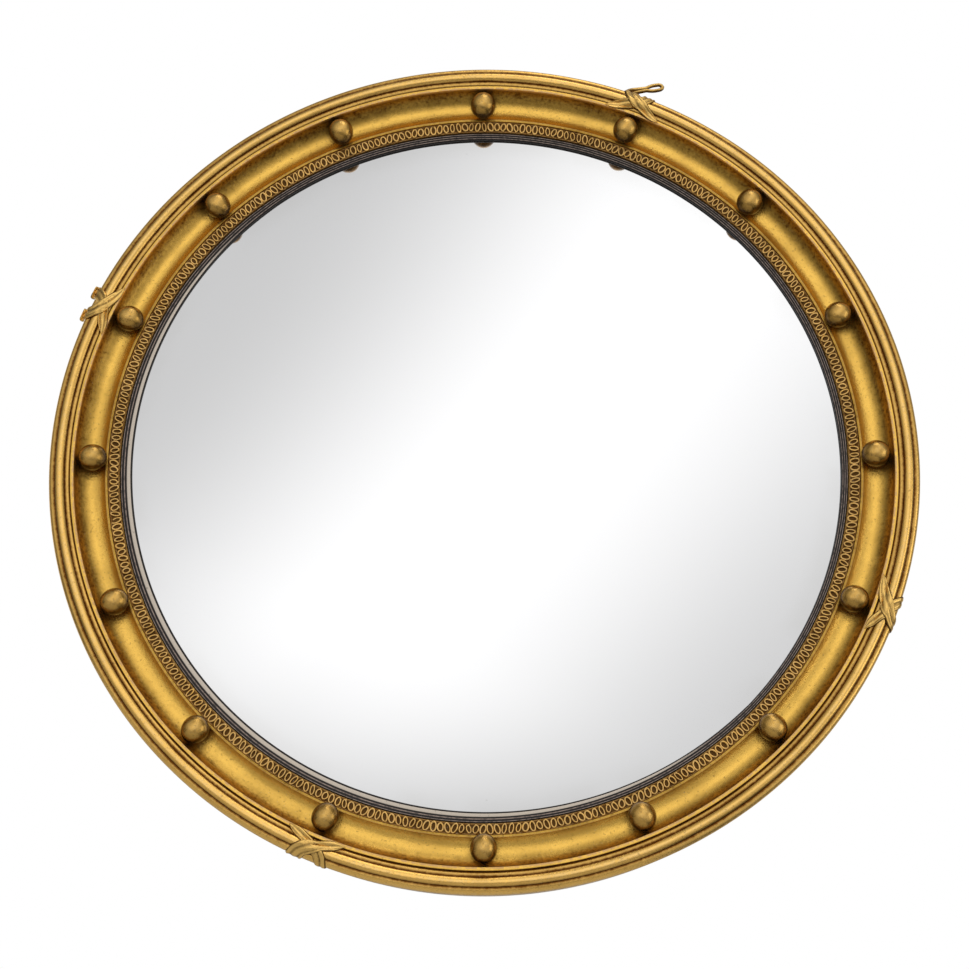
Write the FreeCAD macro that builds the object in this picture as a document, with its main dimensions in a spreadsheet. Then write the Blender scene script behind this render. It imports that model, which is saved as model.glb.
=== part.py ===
import FreeCAD, Part
import math
import os

import Sketcher

# Convex butlers mirror, 24 in over the reeds, in millimetres.
# Every piece is drawn as on the bench: the mirror lies on its back, the wall plane is z = 0,
# the front faces +z and 12 o'clock is +y. One placement then stands it up, front to -Y, top to +Z.

SIZES = {
    # turned ring
    "outer_radius": 305.0,          # over the reeds
    "side_inset": 2.0,              # side of the ring, inside the reeds
    "side_taper": 3.0,              # side leans in towards the wall
    "border_seat_height": 36.0,
    "border_width": 15.4,
    "fillet_width": 2.5,
    "fillet_height": 48.5,
    "cove_width": 20.5,
    "cove_radius": 11.9,
    "inner_fillet_width": 1.8,
    "inner_fillet_height": 40.0,
    "band_width": 8.2,
    "band_seat_height": 36.8,
    "lip_thickness": 1.4,
    "lip_depth": 2.0,
    "relief_height": 9.0,           # hollow back, behind the glass rebate
    "relief_width": 31.4,
    # reeded border
    "reed_radius": 3.7,
    "reed_spread": 4.9,             # from the bundle's centre to each reed's centre
    "bundle_height": 42.0,
    "reed_first_angle": 32.0,
    "reed_step_angle": 60.0,
    "reed_tuck_angle": 30.0,        # the outer reed curls this far back under
    # band of loops and slip
    "seat_gap": 0.2,
    "band_outer_rise": 2.2,
    "band_inner_rise": 1.6,
    "band_crown_radius": 9.0,
    "slip_sight": 4.8,              # slip shows this far inside the ring's lip
    "slip_rise": 0.4,
    "slip_reed_width": 1.4,
    "slip_reed_drop": 0.6,
    "slip_lip": 0.9,
    "slip_flange": 1.2,
    # glass
    "glass_clearance": 3.6,         # edge of the glass to the rebate's wall
    "dome_radius": 1175.0,
    "glass_thickness": 3.0,
    "glass_gap": 0.2,
    # glue blocks
    "block_count": 8,
    "block_angle": 8.0,
    "block_reach": 8.0,
    "block_height": 13.0,
    # balls and their brads
    "ball_count": 16,
    "ball_length": 20.2,            # along the radius
    "ball_width": 18.8,
    "ball_ring_offset": 12.5,       # ball centre, inside the outer fillet
    "ball_gap": 0.6,
    "ball_sides": 10,
    "ball_bands": 6,
    "brad_width": 1.8,
    "brad_in_ball": 5.0,
    "brad_in_wood": 10.0,
    # ribbon ties
    "tie_gap": 0.3,
    "under_thickness": 1.2,
    "over_thickness": 2.0,
    "tie_crossing": 0.32,           # where the two ribbons cross, as a share of their length
    "tie_inner_offset": 15.5,       # tip of a leaf, from the tie's middle
    "tie_outer_offset": 7.5,
    "leaf_width": 14.0,
    "ribbon_waist_width": 9.0,
    "ribbon_outer_width": 8.5,
    "curl_small": 0.6,
    "curl_large": 3.6,
    # free ribbon loop at 12 o'clock
    "loop_length": 20.0,
    "loop_lean_angle": 36.0,
    "loop_base_width": 7.0,
    "loop_head_radius": 3.2,
    "loop_eye_radius": 1.3,
    "loop_eye_length": 8.0,
    "loop_thickness": 2.6,
    "loop_shift": 3.0,
    # backboard
    "board_overlap": 7.4,           # on the ledge behind the glass rebate
    "board_thickness": 5.0,
    "plank_width": 177.0,
    "plank_gap": 0.4,
    "nail_count": 8,
    "nail_width": 2.2,
    "nail_length": 14.0,
    "nail_head_width": 4.4,
    "nail_head_thickness": 0.9,
    "nail_inset": 3.7,
    # hanging plate, its two nails and the ring
    "plate_width": 36.0,
    "plate_length": 11.0,
    "plate_thickness": 1.6,
    "plate_corner": 3.0,
    "plate_margin": 1.5,            # from the backboard's edge
    "plate_gap": 0.1,
    "knuckle_radius": 2.6,
    "knuckle_length": 10.0,
    "knuckle_stand": 3.3,           # hinge line, off the plate's back
    "hinge_bore": 1.4,
    "hinge_clearance": 0.07,
    "ring_bar": 2.2,
    "ring_width": 16.6,
    "ring_leg": 2.0,
    "plate_nail_spacing": 26.0,
    "plate_nail_length": 11.0,
}

# How many chords stand for each turned curve, so that the turned faces stay few
COVE_CHORDS = 5
REED_CHORDS = 3
CROWN_CHORDS = 2
DOME_CHORDS = 4

SMALLEST_CUT = 0.01                 # mm3 that a pocket has to take away
WELD = 1e-6                         # mm, corners nearer than this are one

doc = FreeCAD.newDocument("butlers_mirror")
sheet = doc.addObject("Spreadsheet::Sheet", "Sizes")
for row, (alias, number) in enumerate(SIZES.items(), start=1):
    sheet.set(f"A{row}", alias)
    sheet.set(f"B{row}", str(number))
    sheet.setAlias(f"B{row}", alias)
doc.recompute()


kept = []


class Bound:
    """A number and the spreadsheet expression that gives it."""

    def __init__(self, value, text):
        self.value = float(value)
        self.text = text

    def __add__(self, other):
        other = bound(other)
        return Bound(self.value + other.value, f"({self.text} + {other.text})")

    def __sub__(self, other):
        other = bound(other)
        return Bound(self.value - other.value, f"({self.text} - {other.text})")

    def __mul__(self, other):
        other = bound(other)
        return Bound(self.value * other.value, f"({self.text} * {other.text})")

    def __truediv__(self, other):
        other = bound(other)
        return Bound(self.value / other.value, f"({self.text} / {other.text})")

    def __neg__(self):
        return Bound(-self.value, f"(-1 * {self.text})")


def bound(number):
    return number if isinstance(number, Bound) else Bound(number, str(number))


def size(alias):
    return Bound(sheet.get(alias), f"Sizes.{alias}")


def root(length):
    return Bound(math.sqrt(length.value), f"sqrt({length.text})")


def cosine(angle):
    return Bound(math.cos(math.radians(angle.value)), f"cos({angle.text} * 1 deg)")


def sine(angle):
    return Bound(math.sin(math.radians(angle.value)), f"sin({angle.text} * 1 deg)")


def keep(alias, length):
    """Writes a worked-out length to the sheet under a name of its own, so that other expressions stay short."""
    row = len(kept) + len(SIZES) + 1
    kept.append(alias)
    sheet.set(f"A{row}", alias)
    sheet.set(f"B{row}", "=" + length.text.replace("Sizes.", ""))
    sheet.setAlias(f"B{row}", alias)
    sheet.recompute()
    return Bound(length.value, f"Sizes.{alias}")


def bind(item, **properties):
    for name, length in properties.items():
        item.setExpression(name, length.text)


# Lines of the section that more than one piece shares

outer_radius = size("outer_radius")
side_radius = keep("side_radius", outer_radius - size("side_inset"))
back_radius = keep("back_radius", side_radius - size("side_taper"))
wall_radius = keep("wall_radius", outer_radius - size("border_width"))
cove_outer = keep("cove_outer", wall_radius - size("fillet_width"))
cove_inner = keep("cove_inner", cove_outer - size("cove_width"))
band_outer = keep("band_outer", cove_inner - size("inner_fillet_width"))
lip_radius = keep("lip_radius", band_outer - size("band_width"))
lip_back = keep("lip_back", size("band_seat_height") - size("lip_thickness"))
rebate_radius = keep("rebate_radius", lip_radius + size("lip_depth"))
glass_radius = keep("glass_radius", rebate_radius - size("glass_clearance"))
relief_radius = keep("relief_radius", rebate_radius + size("relief_width"))
relief_height = size("relief_height")
fillet_height = size("fillet_height")
inner_fillet_height = size("inner_fillet_height")
seat_gap = size("seat_gap")

reed_radius = size("reed_radius")
reed_spread = size("reed_spread")
first_reach = reed_spread * cosine(size("reed_first_angle"))
bundle_radius = keep("bundle_radius", outer_radius - reed_radius - first_reach)
bundle_height = size("bundle_height")

sight_radius = keep("sight_radius", lip_radius - size("slip_sight"))
slip_back = keep("slip_back", lip_back - seat_gap - size("slip_flange"))

board_radius = keep("board_radius", rebate_radius + size("board_overlap"))
board_back = keep("board_back", relief_height - size("board_thickness"))
nail_ring = keep("nail_ring", board_radius - size("nail_inset"))

plate_low = keep("plate_low", board_radius + size("plate_margin"))
plate_high = keep("plate_high", plate_low + size("plate_length"))
plate_back = keep("plate_back", relief_height - size("plate_gap"))
plate_face = keep("plate_face", plate_back - size("plate_thickness"))
hinge_height = keep("hinge_height", plate_back - size("knuckle_stand"))


def cove_floor():
    """Deepest point of the cove, from its two edges and its radius."""
    rise = fillet_height - inner_fillet_height
    width = size("cove_width")
    chord = root(width * width + rise * rise)
    radius = size("cove_radius")
    lift = root(radius * radius - chord * chord / 4)
    centre = (fillet_height + inner_fillet_height) / 2 + lift * width / chord
    return centre - radius


cove_base = keep("cove_base", cove_floor())
ball_ring = keep("ball_ring", cove_outer - size("ball_ring_offset"))
ball_height = keep("ball_height", cove_base + size("ball_gap") + size("ball_width") / 2)

UPRIGHT = FreeCAD.Placement(FreeCAD.Vector(), FreeCAD.Rotation(FreeCAD.Vector(1, 0, 0), 90))


def clock_placement(degrees):
    """Upright, after a turn clockwise from 12 o'clock as the front is seen."""
    turned = FreeCAD.Rotation(FreeCAD.Vector(0, 0, 1), -degrees)
    return UPRIGHT * FreeCAD.Placement(FreeCAD.Vector(), turned)


# Sketch and feature helpers


def arc_middle(start, end, radius, bulge):
    """Half way along an arc from start to end. bulge is +1 for an arc on the left of the chord, -1 on the right."""
    along = end - start
    half = along.Length / 2
    rise = radius - math.sqrt(max(radius**2 - half**2, 0.0))
    left = FreeCAD.Vector(-along.y, along.x, 0).normalize()
    return (start + end) / 2 + left * (bulge * rise)


def arc_corners(name, start, end, radius, bulge, chords):
    """The corners between start and end where a turned curve is drawn as short chords."""
    across, up = end[0] - start[0], end[1] - start[1]
    chord = keep(f"{name}_chord", root(across * across + up * up))
    lift = keep(f"{name}_lift", root(radius * radius - chord * chord / 4) * bulge)
    across = keep(f"{name}_across", across / chord)
    up = keep(f"{name}_up", up / chord)
    middle_x = keep(f"{name}_middle_x", (start[0] + end[0]) / 2 + up * lift)
    middle_y = keep(f"{name}_middle_y", (start[1] + end[1]) / 2 - across * lift)
    half = math.asin(chord.value / 2 / radius.value)
    corners = []
    for number in range(1, chords):
        share = math.sin(half * (2 * number / chords - 1)) / math.sin(half) / 2
        along = keep(f"{name}_along_{number}", chord * round(share, 6))
        rise = keep(f"{name}_rise_{number}", root(radius * radius - along * along) * bulge)
        corners.append((middle_x + across * along - up * rise, middle_y + up * along + across * rise))
    return corners


def with_chords(label, corners, curves):
    """The outline with chords put in. curves maps a corner's number to (radius, bulge, chords) of the side after it."""
    drawn = []
    for i, corner in enumerate(corners):
        drawn.append(corner)
        if i in curves:
            drawn += arc_corners(f"{label}_curve_{i}", corner, corners[(i + 1) % len(corners)], *curves[i])
    return drawn


def draw_outline(sketch, corners, arcs=None):
    """A closed outline through bound corners. arcs maps a corner's number to (radius, bulge) of the side after it."""
    arcs = arcs or {}
    count = len(corners)
    points = [FreeCAD.Vector(x.value, y.value, 0) for x, y in corners]
    starts, ends = [], []
    for i in range(count):
        start, end = points[i], points[(i + 1) % count]
        if i in arcs:
            radius, bulge = arcs[i]
            middle = arc_middle(start, end, radius.value, bulge)
            side = sketch.addGeometry(Part.Arc(start, middle, end), False)
            forward = (sketch.getPoint(side, 1) - start).Length < (sketch.getPoint(side, 2) - start).Length
            radius_datum = sketch.addConstraint(Sketcher.Constraint("Radius", side, radius.value))
            sketch.setExpression(f"Constraints[{radius_datum}]", radius.text)
        else:
            side = sketch.addGeometry(Part.LineSegment(start, end), False)
            forward = True
        starts.append((side, 1 if forward else 2))
        ends.append((side, 2 if forward else 1))
    for i in range(count):
        sketch.addConstraint(Sketcher.Constraint("Coincident", *ends[i - 1], *starts[i]))
        place_point(sketch, starts[i], corners[i])


def place_point(sketch, point, place):
    """Holds a sketch point at bound coordinates."""
    axes = {"DistanceX": -2, "DistanceY": -1}
    for (kind, axis), coordinate in zip(axes.items(), place):
        if coordinate.value == 0:
            sketch.addConstraint(Sketcher.Constraint("PointOnObject", *point, axis))
        else:
            datum = sketch.addConstraint(Sketcher.Constraint(kind, *point, coordinate.value))
            sketch.setExpression(f"Constraints[{datum}]", coordinate.text)


def draw_circle(sketch, x, y, radius):
    circle = Part.Circle(FreeCAD.Vector(x.value, y.value, 0), FreeCAD.Vector(0, 0, 1), radius.value)
    number = sketch.addGeometry(circle, False)
    datum = sketch.addConstraint(Sketcher.Constraint("Radius", number, radius.value))
    sketch.setExpression(f"Constraints[{datum}]", radius.text)
    place_point(sketch, (number, 3), (x, y))


def new_body(label):
    body = doc.addObject("PartDesign::Body", label)
    body.Label = label
    body.AllowCompound = True
    return body


def new_sketch(body, name, role, height=None):
    """A sketch on one of the body's own origin planes, lifted along the plane's normal by height."""
    sketch = body.newObject("Sketcher::SketchObject", f"{body.Label}_{name}")
    plane = [feature for feature in body.Origin.OriginFeatures if feature.Role == role][0]
    sketch.AttachmentSupport = [(plane, "")]
    sketch.MapMode = "FlatFace"
    if height is not None:
        sketch.setExpression("AttachmentOffset.Base.z", height.text)
    return sketch


def revolve(body, sketch, angle=None):
    """Turns the sketch about the mirror's axis: all the way round, or by angle about the sketch's plane."""
    turned = body.newObject("PartDesign::Revolution", f"{body.Label}_turned")
    turned.Profile = sketch
    turned.ReferenceAxis = (sketch, ["V_Axis"])
    if angle is None:
        turned.Angle = 360
    else:
        turned.Midplane = True
        turned.setExpression("Angle", angle.text)
    return turned


def pad(body, sketch, length, midplane=False):
    block = body.newObject("PartDesign::Pad", f"{sketch.Label}_pad")
    block.Profile = sketch
    block.setExpression("Length", length.text)
    block.Midplane = midplane
    return block


def pocket_through(body, sketch):
    """A cut all the way, both ways from the sketch, that has to take something away."""
    before = body.Shape.Volume
    cut = body.newObject("PartDesign::Pocket", f"{sketch.Label}_cut")
    cut.Profile = sketch
    cut.Type = "ThroughAll"
    cut.Midplane = True
    doc.recompute()
    if body.Shape.Volume > before - SMALLEST_CUT:
        raise RuntimeError(f"{sketch.Label} cuts nothing")
    return cut


def polar_pattern(body, feature, count, sketch):
    pattern = body.newObject("PartDesign::PolarPattern", f"{body.Label}_pattern")
    pattern.Originals = [feature]
    pattern.Axis = (sketch, ["N_Axis"]) if sketch.Label.endswith("_plan") else (sketch, ["V_Axis"])
    pattern.Angle = 360
    pattern.setExpression("Occurrences", count.text)
    body.Tip = pattern
    return pattern


def turned_piece(label, corners, curves=None):
    body = new_body(label)
    sketch = new_sketch(body, "section", "XZ_Plane")
    draw_outline(sketch, with_chords(label, corners, curves or {}))
    revolve(body, sketch)
    body.Placement = UPRIGHT
    return body


def draw_square(sketch, width, x, y):
    half = width / 2
    draw_outline(sketch, [(x - half, y - half), (x + half, y - half), (x + half, y + half), (x - half, y + half)])


def square_plan(body, name, width, centre, height):
    """A square on the 12 o'clock line, drawn on a plane across the mirror's axis."""
    sketch = new_sketch(body, f"{name}_plan", "XY_Plane", height)
    draw_square(sketch, width, bound(0), centre)
    return sketch


def plate_nail_squares(body, name, width, height):
    """One square for each of the hanging plate's two nails."""
    sketch = new_sketch(body, f"{name}_plan", "XY_Plane", height)
    half = size("plate_nail_spacing") / 2
    for x in (-half, half):
        draw_square(sketch, width, x, (plate_low + plate_high) / 2)
    return sketch


def cut_upwards(body, sketch, depth=None):
    """A pocket from the sketch towards the front, depth deep or out through the face, that has to take something away."""
    before = body.Shape.Volume
    hole = body.newObject("PartDesign::Pocket", f"{sketch.Label}_cut")
    hole.Profile = sketch
    hole.Reversed = True
    if depth is None:
        hole.Type = "ThroughAll"
    else:
        hole.setExpression("Length", depth.text)
    doc.recompute()
    if body.Shape.Volume > before - SMALLEST_CUT:
        raise RuntimeError(f"{sketch.Label} cuts nothing")
    return hole


# Turned pieces


def frame_ring():
    """The turned wooden ring: side, seat for the reeds, fillets, cove, seat for the loops, lip, rebate, hollow back."""
    corners = [
        (back_radius, bound(0)),
        (side_radius, size("border_seat_height")),
        (wall_radius, size("border_seat_height")),
        (wall_radius, fillet_height),
        (cove_outer, fillet_height),
        (cove_inner, inner_fillet_height),
        (band_outer, inner_fillet_height),
        (band_outer, size("band_seat_height")),
        (lip_radius, size("band_seat_height")),
        (lip_radius, lip_back),
        (rebate_radius, lip_back),
        (rebate_radius, relief_height),
        (relief_radius, relief_height),
        (relief_radius, bound(0)),
    ]
    cove_side = 4
    body = turned_piece("frame_ring", corners, {cove_side: (size("cove_radius"), 1, COVE_CHORDS)})
    doc.recompute()
    brad_plan = square_plan(body, "brad_holes", size("brad_width"), ball_ring, cove_base - size("brad_in_wood"))
    polar_pattern(body, cut_upwards(body, brad_plan), size("ball_count"), brad_plan)
    doc.recompute()
    nail_plan = square_plan(body, "nail_holes", size("nail_width"), nail_ring, relief_height)
    depth = size("nail_length") - size("board_thickness")
    polar_pattern(body, cut_upwards(body, nail_plan, depth), size("nail_count"), nail_plan)
    doc.recompute()
    plate_plan = plate_nail_squares(body, "plate_nail_holes", size("nail_width"), relief_height)
    depth = size("plate_nail_length") - size("plate_thickness") - size("plate_gap")
    body.Tip = cut_upwards(body, plate_plan, depth)
    return body


def bundle_point(distance, angle):
    """A point of the reeds' section, from the bundle's centre. 0 degrees is outwards, 90 to the front."""
    return bundle_radius + distance * cosine(angle), bundle_height + distance * sine(angle)


def reeded_border():
    """Three reeds round a half-round core, seated in the ring's outer corner."""
    first = size("reed_first_angle")
    step = size("reed_step_angle")
    half_chord = reed_spread * sine(step / 2)
    quirk = reed_spread * cosine(step / 2) + root(reed_radius * reed_radius - half_chord * half_chord)
    inner_wall = wall_radius + seat_gap
    base = size("border_seat_height") + seat_gap
    last_x, last_y = bundle_point(reed_spread, first + step * 2)
    inside = last_x - inner_wall
    inner_top = last_y + root(reed_radius * reed_radius - inside * inside)
    first_x, first_y = bundle_point(reed_spread, first)
    tuck = size("reed_tuck_angle")
    corners = [
        (side_radius, base),
        (first_x + reed_radius * cosine(tuck), first_y - reed_radius * sine(tuck)),
        bundle_point(quirk, first + step / 2),
        bundle_point(quirk, first + step * 1.5),
        (inner_wall, inner_top),
        (inner_wall, base),
    ]
    curves = {side: (reed_radius, -1, REED_CHORDS) for side in (1, 2, 3)}
    return turned_piece("reeded_border", corners, curves)


def loop_moulding():
    """The crowned band of composition that carries the loops."""
    seat = size("band_seat_height")
    corners = [
        (lip_radius + seat_gap, seat),
        (band_outer - seat_gap, seat),
        (band_outer - seat_gap, seat + size("band_outer_rise")),
        (lip_radius + seat_gap, seat + size("band_inner_rise")),
    ]
    return turned_piece("loop_moulding", corners, {2: (size("band_crown_radius"), -1, CROWN_CHORDS)})


def slip():
    """The ebonised slip: a flange behind the ring's lip and three small reeds that step down to the glass."""
    flange_top = lip_back - seat_gap
    neck = lip_radius - seat_gap
    top = size("band_seat_height") + size("slip_rise")
    width = size("slip_reed_width")
    drop = size("slip_reed_drop")
    corners = [
        (rebate_radius - seat_gap, slip_back),
        (rebate_radius - seat_gap, flange_top),
        (neck, flange_top),
        (neck, top),
        (neck - width / 2, top + drop / 2),
        (neck - width, top - drop),
        (neck - width * 1.5, top - drop / 2),
        (neck - width * 2, top - drop * 2),
        (neck - width * 2.5, top - drop * 1.5),
        (neck - width * 3, top - drop * 3),
        (sight_radius, slip_back + size("slip_lip")),
        (sight_radius, slip_back),
    ]
    return turned_piece("slip", corners)


def dome_height(radius, depth=None):
    """Height of the glass at a radius: on its face, or depth below it."""
    face = size("dome_radius")
    seat = slip_back - size("glass_gap")
    centre = seat - root(face * face - sight_radius * sight_radius)
    ball = face if depth is None else face - depth
    return centre + root(ball * ball - radius * radius)


def glass():
    """The domed glass, of even thickness, silvered on its hollow back."""
    reaches = [glass_radius * (step / DOME_CHORDS) for step in range(DOME_CHORDS + 1)]
    reaches[0] = bound(0)
    back = [(reach, dome_height(reach, size("glass_thickness"))) for reach in reaches]
    front = [(reach, dome_height(reach)) for reach in reversed(reaches)]
    return turned_piece("glass", back + front)


def glass_blocks():
    """Small glue blocks in the rebate that hold the glass against the slip."""
    label = "glass_blocks"
    depth = size("glass_thickness") + seat_gap
    wall = rebate_radius - seat_gap / 2
    toe = glass_radius - size("block_reach")
    heel = dome_height(glass_radius, depth) - size("block_height")
    corners = [
        (wall, heel),
        (wall, dome_height(glass_radius, depth)),
        (glass_radius, dome_height(glass_radius, depth)),
        (toe, dome_height(toe, depth)),
        (toe, dome_height(toe, depth) - size("block_height") / 2),
        (toe + size("block_reach") / 2, heel),
    ]
    body = new_body(label)
    sketch = new_sketch(body, "section", "XZ_Plane")
    draw_outline(sketch, corners)
    block = revolve(body, sketch, size("block_angle"))
    polar_pattern(body, block, size("block_count"), sketch)
    body.Placement = UPRIGHT
    return body


# Balls in the cove


def faceted_ball(length, width, sides, bands):
    """A slightly oval turned ball, long along y, as flat facets round its turning axis."""
    rings = []
    for band in range(bands + 1):
        turn = math.pi * band / bands
        reach = width / 2 * math.sin(turn)
        along = length / 2 * math.cos(turn)
        angles = [2 * math.pi * (side + 0.5) / sides for side in range(sides)]
        rings.append([FreeCAD.Vector(reach * math.cos(a), along, reach * math.sin(a)) for a in angles])
    faces = []
    for upper, lower in zip(rings, rings[1:]):
        for i in range(sides):
            j = (i + 1) % sides
            loop = []
            for corner in (upper[i], upper[j], lower[j], lower[i]):
                if not any((corner - other).Length < WELD for other in loop):
                    loop.append(corner)
            faces.append(Part.Face(Part.makePolygon(loop + loop[:1])))
    solid = Part.Solid(Part.Shell(faces))
    solid.fix(WELD, WELD, WELD)
    return solid


def balls():
    count = int(size("ball_count").value)
    shape = faceted_ball(
        size("ball_length").value,
        size("ball_width").value,
        int(size("ball_sides").value),
        int(size("ball_bands").value),
    )
    centre = FreeCAD.Placement(FreeCAD.Vector(0, ball_ring.value, ball_height.value), FreeCAD.Rotation())
    brad = size("brad_width").value
    reach = size("ball_width").value / 2
    corner = FreeCAD.Vector(-brad / 2, -brad / 2, -reach)
    shape = shape.cut(Part.makeBox(brad, brad, size("brad_in_ball").value, corner))
    made = []
    for number in range(count):
        label = f"ball_{number + 1:02d}"
        ball = doc.addObject("Part::Feature", label)
        ball.Label = label
        ball.Shape = shape
        ball.Placement = clock_placement(360 / count * number) * centre
        made.append(ball)
    return made


def ball_brads():
    """A square cut brad behind each ball, driven into the cove."""
    body = new_body("ball_brads")
    length = size("brad_in_wood") + size("ball_gap") + size("brad_in_ball")
    sketch = square_plan(body, "brad", size("brad_width"), ball_ring, cove_base - size("brad_in_wood"))
    brad = pad(body, sketch, length)
    polar_pattern(body, brad, size("ball_count"), sketch)
    body.Placement = UPRIGHT
    return body


# Ribbon ties


def tie_path(curl):
    """Underside of a ribbon as (radius, height): over the outer fillet, down to the first reed, round the other two."""
    gap = size("tie_gap").value
    first = size("reed_first_angle").value
    step = size("reed_step_angle").value
    clear = reed_radius.value + gap
    over_fillet = fillet_height.value + gap

    def reed_centre(angle):
        x, y = bundle_point(reed_spread, bound(angle))
        return x.value, y.value

    def round_reed(angle, turn):
        """A corner that stays clear of the reed while the ribbon turns by 30 degrees."""
        x, y = reed_centre(angle)
        reach = clear / math.cos(math.radians(step / 4))
        return x + reach * math.cos(math.radians(turn)), y + reach * math.sin(math.radians(turn))

    inner = reed_centre(first + 2 * step)
    outer = reed_centre(first)
    over_reed = inner[1] + clear
    return [
        (cove_outer.value + gap, over_fillet),
        (wall_radius.value, max(over_fillet, over_reed)),
        (inner[0], over_reed),
        round_reed(first + step, first + step * 1.25),
        round_reed(first + step, first + step * 0.75),
        round_reed(first, first + step * 0.25),
        round_reed(first, first - step * 0.25),
        (outer_radius.value + curl, outer[1] - 2 * reed_radius.value),
    ]


def ribbon_widths():
    """How wide the ribbon is at each point of its path: a pointed leaf, a waist at the crossing, a blunt end."""
    broad = size("leaf_width").value
    waist = size("ribbon_waist_width").value
    flare = size("ribbon_outer_width").value
    return [broad / 2, broad, (broad + waist) / 2, waist, waist, waist, flare, flare / 2]


def ribbon(side, thickness, curl):
    """One ribbon of the crossed pair: a closed strap of flat facets that follows the path, across it by side."""
    path = tie_path(curl)
    lengths = [0.0]
    for (r0, z0), (r1, z1) in zip(path, path[1:]):
        lengths.append(lengths[-1] + math.hypot(r1 - r0, z1 - z0))
    crossing = size("tie_crossing").value
    start = size("tie_inner_offset").value
    finish = size("tie_outer_offset").value
    sections = []
    for (radius, height), length, width in zip(path, lengths, ribbon_widths()):
        share = length / lengths[-1]
        if share < crossing:
            offset = -side * start * (1 - share / crossing)
        else:
            offset = side * finish * (share - crossing) / (1 - crossing)
        outwards = FreeCAD.Vector(radius - bundle_radius.value, height - bundle_height.value, 0).normalize()
        section = []
        for lift in (0.0, thickness):
            for edge in (-width / 2, width / 2):
                across = (offset + edge) / bundle_radius.value
                reach = radius + outwards.x * lift
                along = FreeCAD.Vector(reach * math.sin(across), reach * math.cos(across), height + outwards.y * lift)
                section.append(along)
        sections.append(section)
    return strap_solid(sections)


def strap_solid(sections):
    """Joins four-cornered sections (low left, low right, high left, high right) with triangles."""
    triangles = []
    for near, far in zip(sections, sections[1:]):
        for a, b in ((0, 1), (1, 3), (3, 2), (2, 0)):
            triangles.append((near[a], near[b], far[b]))
            triangles.append((near[a], far[b], far[a]))
    for end in (sections[0], sections[-1]):
        triangles.append((end[0], end[1], end[3]))
        triangles.append((end[0], end[3], end[2]))
    faces = [Part.Face(Part.makePolygon([*corners, corners[0]])) for corners in triangles]
    solid = Part.Solid(Part.Shell(faces))
    solid.fix(WELD, WELD, WELD)
    return solid


def ribbon_ties():
    """Four crossed ribbons over the reeds. The left one's ends still curl away from the ring."""
    small = size("curl_small").value
    large = size("curl_large").value
    made = []
    for place, degrees, curl in (("top", 0, small), ("right", 90, small), ("bottom", 180, small), ("left", 270, large)):
        under = ribbon(1, size("under_thickness").value, curl)
        over = ribbon(-1, size("over_thickness").value, curl)
        tie = doc.addObject("Part::Feature", f"ribbon_tie_{place}")
        tie.Label = f"ribbon_tie_{place}"
        tie.Shape = under.fuse(over).Solids[0]
        tie.Placement = clock_placement(degrees)
        made.append(tie)
    return made


def ribbon_loop():
    """The free loop of ribbon above the top tie: a leaning stem with an eye at its end."""
    body = new_body("ribbon_loop")
    lean = size("loop_lean_angle")
    length = size("loop_length")
    head = size("loop_head_radius")
    eye = size("loop_eye_radius")
    half = size("loop_thickness") / 2
    foot_x = -size("loop_shift")
    foot_y = outer_radius + size("tie_gap") * 3 + size("over_thickness")
    base = bundle_height - half

    def lean_point(along, across):
        x = foot_x + along * cosine(lean) - across * sine(lean)
        y = foot_y + along * sine(lean) + across * cosine(lean)
        return x, y

    sketch = new_sketch(body, "plan", "XY_Plane", base)
    foot = size("loop_base_width")
    corners = [
        (foot_x, foot_y),
        (foot_x + foot, foot_y),
        lean_point(length, -head),
        lean_point(length + head, bound(0)),
        lean_point(length, head),
    ]
    draw_outline(sketch, corners, {2: (head, -1), 3: (head, -1)})
    pad(body, sketch, size("loop_thickness"))
    doc.recompute()
    hole = new_sketch(body, "eye", "XY_Plane", base)
    start = length - size("loop_eye_length")
    corners = [
        lean_point(start, bound(0)),
        lean_point(length, -eye),
        lean_point(length + eye, bound(0)),
        lean_point(length, eye),
    ]
    draw_outline(hole, corners, {1: (eye, -1), 2: (eye, -1)})
    pocket_through(body, hole)
    body.Placement = UPRIGHT
    return body


# Backboard


def drilled_disc():
    """The whole round board before it is cut into planks, with its square nail holes."""
    disc = doc.addObject("Part::Cylinder", "board_disc")
    bind(disc, Radius=board_radius, Height=size("board_thickness"))
    disc.setExpression("Placement.Base.z", board_back.text)
    holes = new_body("board_nail_holes")
    plan = square_plan(holes, "hole", size("nail_width"), nail_ring, board_back)
    polar_pattern(holes, pad(holes, plan, size("board_thickness")), size("nail_count"), plan)
    drilled = doc.addObject("Part::Cut", "board_drilled")
    drilled.Base = disc
    drilled.Tool = holes
    return drilled


def plank(label, disc, left, right):
    """One plank of the round backboard, between two straight joints."""
    strip = doc.addObject("Part::Box", f"{label}_strip")
    bind(strip, Length=right - left, Width=board_radius * 2, Height=size("board_thickness"))
    strip.setExpression("Placement.Base.x", left.text)
    strip.setExpression("Placement.Base.y", (-board_radius).text)
    strip.setExpression("Placement.Base.z", board_back.text)
    board = doc.addObject("Part::Common", label)
    board.Label = label
    board.Base = disc
    board.Tool = strip
    board.Placement = UPRIGHT
    return board


def backboard():
    """Three planks in the hollow of the ring's back."""
    half = size("plank_width") / 2
    gap = size("plank_gap")
    disc = drilled_disc()
    return [
        plank("backboard_left", disc, -board_radius, -half),
        plank("backboard_middle", disc, gap - half, half - gap),
        plank("backboard_right", disc, half, board_radius),
    ]


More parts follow.
